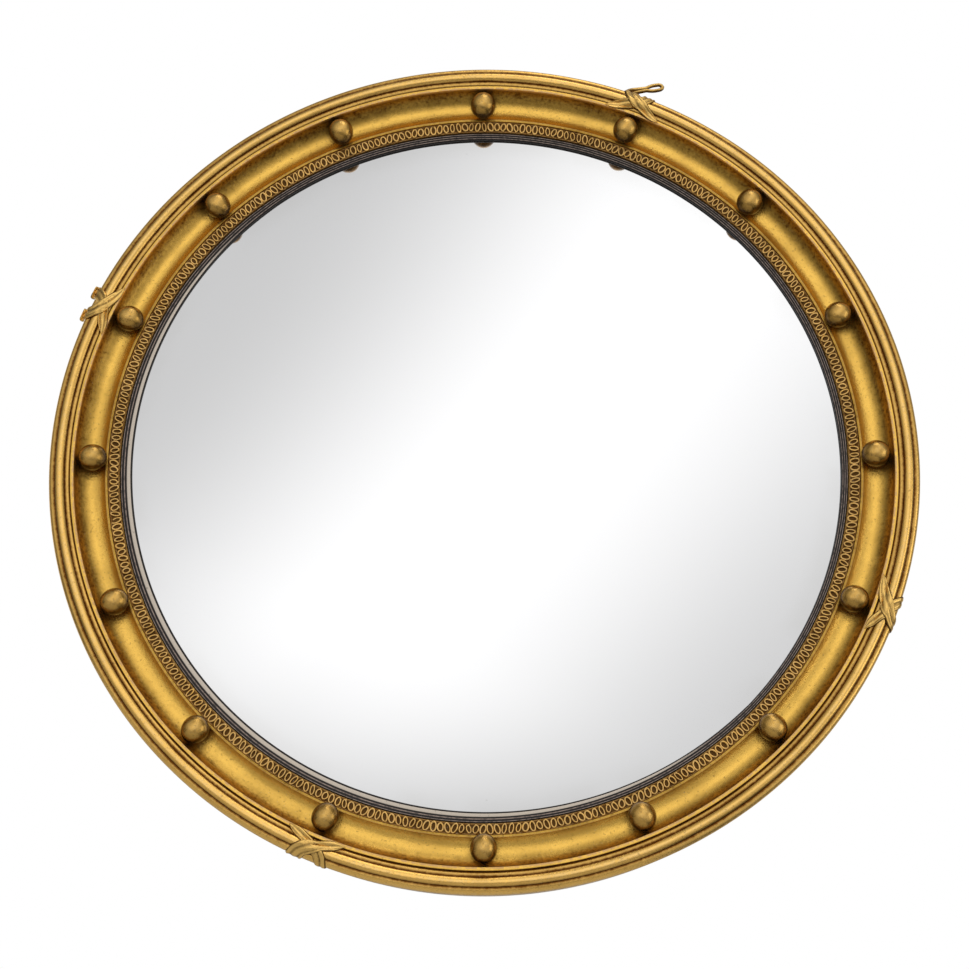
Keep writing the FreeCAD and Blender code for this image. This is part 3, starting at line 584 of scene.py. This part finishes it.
def frameRing():
    outer, inner, radius = (287.1, 48.5), (266.6, 40.0), ringShape["cove"][1]
    centre = coveCentre(outer, inner, radius)
    first = math.degrees(math.atan2(outer[1] - centre[1], outer[0] - centre[0]))
    last = math.degrees(math.atan2(inner[1] - centre[1], inner[0] - centre[0]))
    if last > 0:
        last -= 360
    cove = arc(centre, radius, first, last, 26)
    profile = [(300.0, 0.0), (301.2, 9.0), (302.2, 18.0), (302.8, 27.0), (303.0, 36.0), (289.6, 36.0), (289.6, 48.1)]
    profile += [(289.45, 48.4), (289.1, 48.5), (288.3, 48.52), (287.55, 48.5), (287.25, 48.4)]
    profile += cove[1:-1]
    profile += [(266.6, 39.75), (266.45, 39.95), (266.1, 40.0), (265.3, 40.0), (264.95, 39.95), (264.8, 39.7)]
    profile += [(264.8, 36.8), (256.6, 36.8), (256.6, 35.4), (258.6, 35.4), (258.6, 9.0), (290.0, 9.0), (290.0, 0.0)]
    piece = turned("frameRing", profile, giltWood, reshape=handWaver(3, ringShape["waver"]))
    return finish(piece, "mirror", "gilt_wood", "frame_ring")


# Reeded border

reedShape = {
    "centre": (297.145, 42.0),
    "spread": 4.9,
    "radius": 3.7,
    "angles": (152, 92, 32),
    "quirkDepth": 0.55,
}


def reedCentre(angle):
    centre, spread = reedShape["centre"], reedShape["spread"]
    return centre[0] + spread * math.cos(math.radians(angle)), centre[1] + spread * math.sin(math.radians(angle))


def reededBorder():
    radius = reedShape["radius"]
    half = math.degrees(math.acos(reedShape["spread"] * math.sin(math.radians(30)) / radius))
    inner, middle, outer = (reedCentre(angle) for angle in reedShape["angles"])
    wall = 289.8
    start = math.degrees(math.acos((wall - inner[0]) / radius))
    meet = 62.0
    crossing = 90 - half
    profile = [(303.0, 36.2)]
    profile += arc(outer, radius, -30, meet + crossing, 16)
    deep = reedShape["quirkDepth"]
    quirk = 7.016 - deep
    for angle, centre, last in ((62, middle, 122 + crossing), (122, inner, start)):
        turned_ = math.radians(angle)
        profile.append((297.145 + quirk * math.cos(turned_), 42.0 + quirk * math.sin(turned_)))
        profile += arc(centre, radius, angle - crossing, last, 16)
    profile += [(wall, 36.2)]
    piece = turned("reededBorder", profile, giltReeds, reshape=handWaver(11, 0.12), sharp=50)
    return finish(piece, "mirror", "gilt_wood", "reeded_border")


# Slip and glass


slipShape = {"reed": 0.7, "first": (255.7, 36.5), "drop": 0.6, "sight": 251.8, "lipWidth": 4.2, "lipFrom": 112, "lipTo": 300}


def lipShare(angle):
    """How far the slip's inner part is drawn over the glass: none on the right and at the top, most at 7 o'clock."""
    inside = (math.degrees(angle) - slipShape["lipFrom"]) / (slipShape["lipTo"] - slipShape["lipFrom"])
    return math.sin(math.pi * inside) ** 0.7 if 0 < inside < 1 else 0.0


def drawnLip(angle, radius, height):
    inwards = (255.0 - radius) / (255.0 - slipShape["sight"])
    if inwards <= 0:
        return radius, height
    drawn = 0.3 * min(inwards / 0.55, 1.0) + 0.5 * min(max(0.0, inwards - 0.55) / 0.35, 1.0) + 0.2 * max(0.0, inwards - 0.9) / 0.1
    return radius - slipShape["lipWidth"] * lipShare(angle) * drawn, height


def ebonySlip():
    profile, relief, pale = [(258.4, 34.0), (258.4, 35.2), (256.4, 35.2), (256.4, 36.8)], [0.0, 0.0, 0.0, 0.3], [0.0] * 4
    reed = slipShape["reed"]
    for number in range(3):
        centre = (slipShape["first"][0] - 2 * reed * number, slipShape["first"][1] - slipShape["drop"] * number)
        profile += arc(centre, reed, 75, 172, 7)
        # Relief is highest on the small reeds' crests, where the slip's material paints grey highlights.
        relief += [0.3, 0.8, 1.0, 0.8, 0.4, 0.1, 0.0]
        pale += [0.6, 1.0, 1.0, 1.0, 1.0, 1.0, 0.3] if number == 2 else [0.0] * 7
    profile += [(252.15, 35.05), (252.02, 35.0), (251.86, 34.9), (251.8, 34.6), (251.8, 34.0)]
    relief += [0.0, 0.2, 0.3, 0.1, 0.0]
    pale += [0.0] * 5
    piece = turned("ebonySlip", profile, ebonisedSlip, reshape=drawnLip)
    setRelief(piece, relief * 512)
    # This attribute marks where the innermost reed is pale: from 4 to 9 o'clock, most at 7.
    share = [min(1.0, 1.6 * lipShare(turn * step / 512)) for step in range(512)]
    attribute = piece.data.attributes.new("worn", "FLOAT", "POINT")
    attribute.data.foreach_set("value", np.asarray([p * w for w in share for p in pale], dtype=np.float32))
    return finish(piece, "mirror", "ebonised_wood", "slip")


glassShape = {"radius": 255.0, "dome": 1175.0, "thickness": 3.0, "seat": 33.8, "sight": 251.8, "rings": 48}


def convexGlass():
    """The dome's face and its hollow back, with a ground edge."""
    dome = glassShape["dome"]
    centre = glassShape["seat"] - math.sqrt(dome ** 2 - glassShape["sight"] ** 2)
    reaches = np.linspace(0, glassShape["radius"], glassShape["rings"] + 1)[1:]
    segments = 256
    points, faces = [], []
    for ball in (dome, dome - glassShape["thickness"]):
        first = len(points)
        points.append(place(0, 0, centre + ball))
        for reach in reaches:
            height = centre + math.sqrt(ball ** 2 - reach ** 2)
            points += [place(reach, turn * step / segments, height) for step in range(segments)]
        for step in range(segments):
            faces.append((first, first + 1 + step, first + 1 + (step + 1) % segments))
        for ring in range(len(reaches) - 1):
            here = first + 1 + ring * segments
            for step in range(segments):
                after = (step + 1) % segments
                faces.append((here + step, here + after, here + segments + after, here + segments + step))
    whole = 1 + segments * len(reaches)
    for step in range(segments):
        after = (step + 1) % segments
        faces.append((whole - segments + step, whole - segments + after, 2 * whole - segments + after, 2 * whole - segments + step))
    piece = makePiece("convexGlass", points, faces, silveredGlass)
    return finish(piece, "mirror", "silvered_glass", "glass")


# Band of loops

loopShape = {
    "count": 346,
    "ring": 260.8,
    "height": 38.35,
    "longHalf": 3.15,
    "wideHalf": 1.68,
    "wire": 0.72,
    "around": 14,
    "section": 6,
}


def loopWire():
    """One upright oval loop, lying flat at the origin, long along Y."""
    around, section = loopShape["around"], loopShape["section"]
    points, faces, relief = [], [], []
    for i in range(around):
        angle = turn * i / around
        x, y = loopShape["wideHalf"] * math.cos(angle), loopShape["longHalf"] * math.sin(angle)
        normal = Vector((math.cos(angle) / loopShape["wideHalf"], math.sin(angle) / loopShape["longHalf"])).normalized()
        for j in range(section):
            tilt = turn * j / section
            out = loopShape["wire"] * math.cos(tilt)
            up = loopShape["wire"] * 1.25 * math.sin(tilt)
            points.append(((x + normal.x * out) * mm, (y + normal.y * out) * mm, up * mm))
            # Relief: high on the wire's front, low on its back and sides, which the loops' material darkens as painted
            # shade.
            relief.append(0.5 + 0.5 * math.sin(tilt))
    for i in range(around):
        for j in range(section):
            k, m = (i + 1) % around, (j + 1) % section
            faces.append((i * section + j, k * section + j, k * section + m, i * section + m))
    piece = makePiece("loopWire", points, faces, giltLoops, sharp=80)
    setRelief(piece, relief)
    return piece


def loopTree():
    """Sets copies of the given loop round the band, a little unevenly, upright and facing the front."""
    tree = bpy.data.node_groups.new("loopRow", "GeometryNodeTree")
    face = tree.interface
    face.new_socket(name="Geometry", in_out="INPUT", socket_type="NodeSocketGeometry")
    for name, kind in (("Count", "NodeSocketInt"), ("Radius", "NodeSocketFloat"), ("Height", "NodeSocketFloat"),
                       ("Uneven", "NodeSocketFloat"), ("Tilt", "NodeSocketFloat"), ("Seed", "NodeSocketInt"),
                       ("Material", "NodeSocketMaterial")):
        face.new_socket(name=name, in_out="INPUT", socket_type=kind)
    face.new_socket(name="Geometry", in_out="OUTPUT", socket_type="NodeSocketGeometry")
    graph = Graph(tree)
    given = graph.add("NodeGroupInput").outputs
    ring = graph.add("GeometryNodeMeshCircle")
    graph.feed(ring.inputs["Vertices"], given["Count"])
    graph.feed(ring.inputs["Radius"], given["Radius"])
    lifted = graph.add("GeometryNodeSetPosition")
    graph.feed(lifted.inputs["Geometry"], ring.outputs["Mesh"])
    offset = graph.add("ShaderNodeCombineXYZ")
    graph.feed(offset.inputs["Z"], given["Height"])
    graph.feed(lifted.inputs["Offset"], offset.outputs["Vector"])
    position = graph.add("GeometryNodeInputPosition").outputs["Position"]
    upright = graph.add("FunctionNodeAlignRotationToVector", axis="Y", pivot_axis="Z")
    graph.feed(upright.inputs["Vector"], position)

    def scatter(seedShift, low, high):
        node = graph.add("FunctionNodeRandomValue", data_type="FLOAT_VECTOR")
        node.inputs["Min"].default_value = low
        node.inputs["Max"].default_value = high
        graph.feed(node.inputs["Seed"], graph.math("ADD", given["Seed"], seedShift))
        scaled = graph.add("ShaderNodeVectorMath", operation="SCALE")
        graph.feed(scaled.inputs[0], node.outputs["Value"])
        graph.feed(scaled.inputs["Scale"], given["Uneven"])
        return scaled.outputs["Vector"]

    jitter = graph.add("FunctionNodeRotateRotation", rotation_space="LOCAL")
    graph.feed(jitter.inputs["Rotation"], upright.outputs["Rotation"])
    shake = graph.add("ShaderNodeVectorMath", operation="ADD")
    graph.feed(shake.inputs[0], scatter(1, (-0.06, -0.1, -0.2), (0.06, 0.1, 0.2)))
    lean = graph.add("ShaderNodeCombineXYZ")
    graph.feed(lean.inputs["X"], given["Tilt"])
    graph.feed(shake.inputs[1], lean.outputs["Vector"])
    toRotation = graph.add("FunctionNodeEulerToRotation")
    graph.feed(toRotation.inputs["Euler"], shake.outputs["Vector"])
    graph.feed(jitter.inputs["Rotate By"], toRotation.outputs["Rotation"])
    scale = graph.add("ShaderNodeVectorMath", operation="ADD")
    graph.feed(scale.inputs[0], scatter(2, (-0.12, -0.1, -0.25), (0.1, 0.06, 0.25)))
    scale.inputs[1].default_value = (1, 1, 1)
    spread = graph.add("GeometryNodeInstanceOnPoints")
    graph.feed(spread.inputs["Points"], lifted.outputs["Geometry"])
    graph.feed(spread.inputs["Instance"], given["Geometry"])
    graph.feed(spread.inputs["Rotation"], jitter.outputs["Rotation"])
    graph.feed(spread.inputs["Scale"], scale.outputs["Vector"])
    stood = graph.add("GeometryNodeTransform")
    graph.feed(stood.inputs["Geometry"], spread.outputs["Instances"])
    stood.inputs["Rotation"].default_value = (math.pi / 2, 0, 0)
    real = graph.add("GeometryNodeRealizeInstances")
    graph.feed(real.inputs["Geometry"], stood.outputs["Geometry"])
    painted = graph.add("GeometryNodeSetMaterial")
    graph.feed(painted.inputs["Geometry"], real.outputs["Geometry"])
    graph.feed(painted.inputs["Material"], given["Material"])
    graph.feed(graph.add("NodeGroupOutput").inputs["Geometry"], painted.outputs["Geometry"])
    return tree


def spreadRound(source, tree, name, values):
    """Runs the tree on source and keeps the result as a plain mesh."""
    modifier = source.modifiers.new("row", "NODES")
    modifier.node_group = tree
    for item in tree.interface.items_tree:
        if item.in_out == "INPUT" and item.name in values:
            modifier[item.identifier] = values[item.name]
    bpy.context.view_layer.update()
    evaluated = source.evaluated_get(bpy.context.evaluated_depsgraph_get())
    mesh = bpy.data.meshes.new_from_object(evaluated)
    mesh.name = name
    piece = bpy.data.objects.new(name, mesh)
    bpy.context.scene.collection.objects.link(piece)
    bpy.data.objects.remove(source, do_unlink=True)
    return piece


def beadPellet():
    """A small flattened bead, half sunk in the band."""
    points, faces, relief = [(0, 0, 0.62 * mm)], [], [1.0]
    for level, (reach, up) in enumerate(((0.62, 0.42), (0.85, 0.0), (0.6, -0.4))):
        for j in range(8):
            angle = turn * j / 8
            points.append((reach * math.cos(angle) * mm, reach * math.sin(angle) * mm, up * mm))
            # Relief: high on the bead's front, low on its back, which the material darkens as painted shade.
            relief.append(0.5 + up)
    for j in range(8):
        k = (j + 1) % 8
        faces.append((0, 1 + j, 1 + k))
        for level in range(2):
            here, there = 1 + level * 8, 9 + level * 8
            faces.append((here + j, there + j, there + k, here + k))
    faces.append(tuple(17 + j for j in range(8)))
    piece = makePiece("beadPellet", points, faces, giltLoops, sharp=80)
    setRelief(piece, relief)
    return piece


def loopBand():
    """The band's dark crowned ground, its row of loops and the small beads between their feet."""
    profile = [(256.8, 36.8), (264.6, 36.8), (264.6, 38.7), (264.2, 38.95), (263.4, 38.6)]
    profile += [(261.8, 38.2), (260.0, 37.95), (258.4, 37.75), (257.3, 38.1), (256.8, 37.9)]
    # Relief: high on the band's crowned edges, low in the hollow where the loops stand, which the ground's material
    # darkens as painted shade.
    relief = [0.2, 0.2, 0.9, 1.0, 0.4, 0.2, 0.2, 0.3, 0.9, 0.8]
    ground = turned("loopGround", profile, loopGround, reshape=handWaver(8, 0.1))
    setRelief(ground, relief * 512)
    finish(ground, "mirror", "gilt_composition", "loop_moulding")
    tree = loopTree()
    values = {
        "Count": loopShape["count"], "Radius": loopShape["ring"] * mm, "Height": loopShape["height"] * mm,
        "Uneven": 1.9, "Tilt": 0.08, "Seed": 4, "Material": giltLoops,
    }
    loops = spreadRound(loopWire(), tree, "loopRow", values)
    finish(loops, "mirror", "gilt_composition", "loop_moulding")
    values.update({"Radius": 257.9 * mm, "Height": 38.1 * mm, "Seed": 9, "Tilt": 0.0})
    beads = spreadRound(beadPellet(), tree, "loopBeads", values)
    finish(beads, "mirror", "gilt_composition", "loop_moulding")
    return ground, loops, beads


# Balls

ballShape = {"ring": 274.6, "height": 46.3, "long": 10.1, "wide": 9.4, "rings": 28, "segments": 44}


def ball(number):
    """A slightly oval gilt ball with dents of its own, standing in the cove."""
    source = random.Random(100 + number)
    grow = source.uniform(0.975, 1.0)
    dents = [
        (Vector([source.gauss(0, 1) for _ in range(3)]).normalized(), source.uniform(0.25, 0.5), source.uniform(-0.22, 0.12))
        for _ in range(14)
    ]
    angle = turn * number / 16
    forward, side = Vector((math.sin(angle), 0, math.cos(angle))), Vector((math.cos(angle), 0, -math.sin(angle)))
    front = Vector((0, -1, 0))
    centre = Vector(place(ballShape["ring"], angle, ballShape["height"]))
    rings, segments = ballShape["rings"], ballShape["segments"]
    points, faces = [], []

    def spot(direction):
        dent = sum(depth * math.exp(-((1 - direction.dot(axis)) / spread) ** 2 * 6) for axis, spread, depth in dents)
        reach = grow + dent / 10
        along, across, up = direction * reach
        return centre + (forward * along * ballShape["long"] + side * across * ballShape["wide"] + front * up * ballShape["wide"]) * mm

    points.append(spot(Vector((1, 0, 0))))
    for i in range(1, rings):
        tilt = math.pi * i / rings
        for j in range(segments):
            spin = turn * j / segments
            points.append(spot(Vector((math.cos(tilt), math.sin(tilt) * math.cos(spin), math.sin(tilt) * math.sin(spin)))))
    points.append(spot(Vector((-1, 0, 0))))
    last = len(points) - 1
    for j in range(segments):
        k = (j + 1) % segments
        faces.append((0, 1 + j, 1 + k))
        for i in range(rings - 2):
            here = 1 + i * segments
            faces.append((here + j, here + segments + j, here + segments + k, here + k))
        tail = 1 + (rings - 2) * segments
        faces.append((tail + j, last, tail + k))
    piece = makePiece(f"giltBall{number + 1:02d}", points, faces, bronzedBalls, sharp=80)
    return finish(piece, "mirror", "bronzed_balls", f"ball_{number + 1:02d}")


# Ribbon ties

tiePath = [
    (287.2, 48.8), (289.5, 48.9), (292.4, 48.6), (294.7, 50.1), (296.9, 51.0), (299.2, 50.1), (301.6, 48.9),
    (304.1, 47.4), (305.3, 44.9), (305.0, 42.0), (304.1, 39.4), (303.5, 37.0),
]
curlPath = tiePath[:9] + [(305.8, 43.3), (306.9, 42.2), (308.2, 42.3), (309.1, 43.4), (309.1, 44.9), (308.2, 46.0), (307.0, 46.3)]

# Each ribbon: (sideways, along the path, width), in millimetres, from the tip of its leaf to its outer end
ribbonTies = {
    "top": {
        "angle": 0, "curl": False,
        "under": [(-22, 0.9, 0.6), (-15.5, 3.0, 6.2), (-8, 6.0, 8.5), (-1, 9.6, 8.5), (4.5, 14, 8.5), (7, 19, 8.5), (7, 24, 8), (6.5, 28.2, 5)],
        "over": [(21, 0.9, 0.6), (14.5, 3.0, 6), (7, 6.6, 8.5), (0, 10.6, 9.5), (-4.5, 15, 10.5), (-6.5, 19.5, 11), (-7, 24, 10.5), (-7, 28.2, 7)],
    },
    "right": {
        "angle": 90, "curl": False,
        "under": [(18.5, 0.9, 0.6), (12, 3.8, 6.5), (5, 8, 8), (-1, 12, 8), (-6, 16, 8), (-9, 20, 8), (-10.5, 24, 7.5), (-11, 28.2, 5)],
        "over": [(-24, 0.9, 0.6), (-16, 3.4, 6.6), (-7.5, 7.0, 9.5), (0, 11.5, 9.5), (5, 16, 8.5), (8, 20, 8), (9, 24, 7.5), (9.5, 28.2, 5)],
    },
    "bottom": {
        "angle": 180, "curl": False,
        "under": [(21, 0.9, 0.6), (13.5, 3.0, 6.2), (5, 6.2, 7.6), (-1.5, 9.6, 8), (-6, 13.5, 8), (-8.5, 18, 8), (-9.5, 23.5, 7.5), (-9.5, 28.2, 5)],
        "over": [(-21, 1.2, 0.6), (-13, 3.8, 7), (-5, 7, 8.5), (1.5, 10.4, 9.5), (6.5, 14, 10.5), (9, 18.5, 11), (10, 23.5, 10.5), (10, 28.2, 7)],
    },
    "left": {
        "angle": 270, "curl": True,
        "under": [(-20, 0.9, 0.6), (-13, 3.1, 6.4), (-5.5, 6.0, 8), (1, 9, 8.5), (5.5, 13, 9), (8.5, 18, 9), (9.5, 23, 9.5), (9.5, 26.5, 9.5), (9.5, 28.4, 7.5), (9.5, 29.4, 3)],
        "over": [(20, 0.9, 0.6), (13, 3.1, 6.4), (5.5, 6.4, 8.5), (-1, 10, 9), (-5, 13.5, 9), (-7.5, 18, 9), (-8.5, 23, 9.5), (-8.5, 26.5, 9.5), (-8.5, 28.4, 7.5), (-8.5, 29.4, 3)],
    },
}


def smoothLine(points, count):
    """Catmull-Rom points through the given ones."""
    points = np.asarray(points, dtype=float)
    padded = np.vstack([2 * points[0] - points[1], points, 2 * points[-1] - points[-2]])
    line = []
    for share in np.linspace(0, len(points) - 1, count):
        i = min(int(share), len(points) - 2)
        t = share - i
        a, b, c, d = padded[i:i + 4]
        line.append(0.5 * (2 * b + (c - a) * t + (2 * a - 5 * b + 4 * c - d) * t ** 2 + (3 * b - a - 3 * c + d) * t ** 3))
    return np.asarray(line)


class Wrap:
    """Lays flat (sideways, along) millimetres over the reeds."""

    def __init__(self, path, angle):
        self.line = smoothLine(path, 90)
        steps = np.hypot(*np.diff(self.line, axis=0).T)
        self.reach = np.concatenate([[0], np.cumsum(steps)])
        slopes = np.gradient(self.line, axis=0)
        self.normal = np.column_stack([-slopes[:, 1], slopes[:, 0]]) / np.linalg.norm(slopes, axis=1)[:, None]
        self.angle = math.radians(angle)

    def point(self, sideways, along, lift):
        along = min(max(along, 0.0), self.reach[-1])
        radius, height = (np.interp(along, self.reach, self.line[:, k]) for k in (0, 1))
        out, up = (np.interp(along, self.reach, self.normal[:, k]) for k in (0, 1))
        return place(radius + out * lift, self.angle + sideways / 297.0, height + up * lift)


def ribbonPoints(wrap, stations, over, fade, seed):
    """A fluted ribbon: rolled edges, shallow pleats, thin at the leaf's tip, lifted where it crosses the other."""
    source = random.Random(seed)
    count, wide = 52, 21
    line = smoothLine(stations, count)
    slopes = np.gradient(line[:, :2], axis=0)
    slopes /= np.linalg.norm(slopes, axis=1)[:, None]
    phase = source.uniform(0, turn)
    sections, relief = [], []
    for i, (sideways, along, width) in enumerate(line):
        share = i / (count - 1)
        width = max(width, 0.4)
        direction = slopes[i]
        across = Vector((-direction[1], direction[0]))
        thin = min(1.0, 0.25 + 3.5 * share) * (1 - fade * max(0.0, share - 0.55) / 0.45)
        crossing = math.exp(-((share - 0.42) / 0.17) ** 2)
        base = 0.05 + (0.9 * crossing if over else 0.0)
        upper, lower, marks = [], [], []
        for j in range(wide):
            v = -1 + 2 * j / (wide - 1)
            pleat = math.cos(v * 2.3 * math.pi + phase + share * 2.6)
            rim = math.exp(-((abs(v) - 0.78) / 0.12) ** 2)
            fall = max(0.0, abs(v) - 0.86) / 0.14
            crown = 0.85 + 0.26 * pleat + 0.22 * rim - 0.75 * fall
            rise = base + thin * crown
            spot = (sideways + across.x * v * width / 2, along + across.y * v * width / 2)
            upper.append(wrap.point(spot[0], spot[1], rise))
            lower.append(wrap.point(spot[0], spot[1], base - 0.1))
            # Relief marks: low in the pleats' troughs and at the falling edges, most where the leaf fades out; the
            # ribbon material darkens them as painted shade.
            marks.append(0.42 + 0.26 * pleat + 0.2 * rim - (0.3 + 0.9 * fade) * fall)
        sections.append(upper + lower[::-1])
        relief.append(marks + [0.4] * wide)
    return sections, relief


def ribbonMesh(sections, points, faces):
    """Joins closed sections and caps both ends."""
    first, around = len(points), len(sections[0])
    for section in sections:
        points.extend(section)
    for i in range(len(sections) - 1):
        here = first + i * around
        for j in range(around):
            k = (j + 1) % around
            faces.append((here + j, here + k, here + around + k, here + around + j))
    for start in (first, first + (len(sections) - 1) * around):
        half = around // 2
        for j in range(half - 1):
            faces.append((start + j, start + j + 1, start + around - 2 - j, start + around - 1 - j))


def ribbonTie(name, shape):
    wrap = Wrap(curlPath if shape["curl"] else tiePath, shape["angle"])
    points, faces, relief = [], [], []
    for seed, (layer, over) in enumerate((("under", False), ("over", True))):
        sections, marks = ribbonPoints(wrap, shape[layer], over, 0.0 if shape["curl"] else 0.55, shape["angle"] + seed)
        ribbonMesh(sections, points, faces)
        for row in marks:
            relief += row
    piece = makePiece(f"ribbonTie{name.capitalize()}", points, faces, giltRibbon, sharp=55)
    setRelief(piece, relief)
    return finish(piece, "mirror", "gilt_composition", f"ribbon_tie_{name}")


# Free loop of ribbon above the top tie

freeLoop = {"foot": (-12.0, 304.7), "lean": 32, "length": 28.4, "height": 43.0, "wire": 1.4, "stem": 0.4, "flare": 2.4}


def tube(line, radii, points, faces, sides=10, closed=False):
    """A round bar along a line of vectors."""
    count, first = len(line), len(points)
    side = None
    for i, spot in enumerate(line):
        after = line[(i + 1) % count] if closed or i < count - 1 else spot
        before = line[i - 1] if closed or i else spot
        direction = (after - before).normalized()
        if side is None:
            side = direction.orthogonal().normalized()
        side = (side - direction * side.dot(direction)).normalized()
        other = direction.cross(side)
        for j in range(sides):
            angle = turn * j / sides
            points.append(spot + (side * math.cos(angle) + other * math.sin(angle)) * radii[i])
    for i in range(count if closed else count - 1):
        here, there = first + i * sides, first + (i + 1) % count * sides
        for j in range(sides):
            k = (j + 1) % sides
            faces.append((here + j, here + k, there + k, there + j))
    if not closed:
        faces.append(tuple(first + j for j in range(sides)))
        faces.append(tuple(first + (count - 1) * sides + j for j in range(sides)))


def loopHalfWidth(share, side):
    """Half of the free loop's width: spread downwards at the foot, narrow along the stem, an eye with a round end."""
    foot = freeLoop["flare"] * max(0.0, 1 - share / 0.3) ** 1.5 if side < 0 else 0.0
    eye = 1.5 * math.sin(math.pi / 2 * min(1.0, max(0.0, share - 0.56) / 0.24))
    end = math.sqrt(max(0.0, 1 - (max(0.0, share - 0.88) / 0.12) ** 2))
    return (0.95 + foot + eye) * end


def ribbonLoop():
    """Two strands side by side, spread at the tie and parted at the tip. Their undersides and their foot at the tie get
    painted shade.
    """
    lean = math.radians(freeLoop["lean"])
    along = Vector((math.cos(lean), 0, math.sin(lean)))
    across = Vector((-math.sin(lean), 0, math.cos(lean)))
    front = Vector((0, -1, 0))
    foot = Vector((freeLoop["foot"][0] * mm, -freeLoop["height"] * mm, freeLoop["foot"][1] * mm))
    points, faces, relief = [], [], []
    for side in (1, -1):
        line, radii = [], []
        for i in range(46):
            share = i / 45
            forwards = side * 0.5 * math.cos(math.pi * share)
            sideways = side * loopHalfWidth(share, side)
            sunk = Vector((0, 0, -2.2 * max(0.0, 1 - share / 0.2) ** 2))
            line.append(foot + (along * share * freeLoop["length"] + across * sideways + front * forwards + sunk) * mm)
            radii.append((freeLoop["wire"] + freeLoop["stem"] * max(0.0, 1 - share / 0.6)) * mm)
        first = len(points)
        tube(line, radii, points, faces)
        for i, spot in enumerate(line):
            # Painted shade: darker towards the foot at the tie and on each strand's underside.
            shade = 0.28 - 0.4 * max(0.0, 1 - i / 45 / 0.35)
            relief += [shade + 0.5 * (points[first + i * 10 + j].z - spot.z) / radii[i] for j in range(10)]
    piece = makePiece("ribbonLoop", points, faces, giltRibbon, sharp=60)
    setRelief(piece, relief)
    return finish(piece, "mirror", "gilt_composition", "ribbon_loop")


# Hanging ring at the back

hangRing = {"outer": 8.3, "bar": 2.2, "hinge": (278.5, 5.6), "leg": 2.0}


def hangingRing():
    """A D of round brass wire: straight bar in the knuckle, legs and a half-round bow."""
    half = hangRing["outer"] - hangRing["bar"] / 2
    top, height = hangRing["hinge"]
    low = top - hangRing["leg"]
    flat = [(x, top) for x in np.linspace(-half, half, 9)]
    flat += [(half, top - 1.0)]
    flat += arc((0, low), half, 0, -180, 28)
    flat += [(-half, top - 1.0)]
    line = [Vector((x * mm, -height * mm, z * mm)) for x, z in flat]
    points, faces = [], []
    tube(line, [1.08 * mm] * len(line), points, faces, sides=14, closed=True)
    piece = makePiece("hangingRing", points, faces, agedBrass, sharp=60)
    return finish(piece, "ring", "brass", "hanging_ring")


def dressNodes(materials):
    """New materials for the CAD nodes that stay."""
    for name, material in materials.items():
        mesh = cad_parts[name].data
        mesh.materials.clear()
        mesh.materials.append(material)


def addFloor():
    bpy.ops.mesh.primitive_plane_add(size=3.4, location=(0, 0, -1.35))
    floor = bpy.context.object
    floor.name = "floor"
    material, graph, sockets = newMaterial("paleFloor")
    tint = graph.noise(graph.place(), 3.0)
    graph.feed(sockets["Base Color"], graph.mix(tint, (0.8, 0.8, 0.79, 1), (0.84, 0.84, 0.83, 1)))
    sockets["Roughness"].default_value = 0.9
    floor.data.materials.append(material)


print("stage: camera and light")
bpy.context.scene.view_settings.view_transform = "Standard"
addCamera()
addWorld()
addFloor()
addLamp("key", (-0.6, -0.9, 2.4), (0, 0, 0), 1.2, 0.9, 5, (1.0, 0.98, 0.95))
addLamp("side", (1.9, -0.9, 0.6), (0, 0, 0), 0.9, 1.4, 4, (1.0, 0.99, 0.97))

print("stage: turned pieces")
frameRing()
reededBorder()
ebonySlip()
convexGlass()

print("stage: band of loops")
loopBand()

print("stage: balls")
for number in range(16):
    ball(number)

print("stage: ribbons")
for name, shape in ribbonTies.items():
    ribbonTie(name, shape)
ribbonLoop()

print("stage: back")
hangingRing()
dressNodes({
    "backboard_left": pine, "backboard_middle": pine, "backboard_right": pine, "glass_blocks": blockPine,
    "backboard_nails": ironNails, "plate_nails": ironNails, "ball_brads": ironNails, "hanging_plate": agedBrass,
})
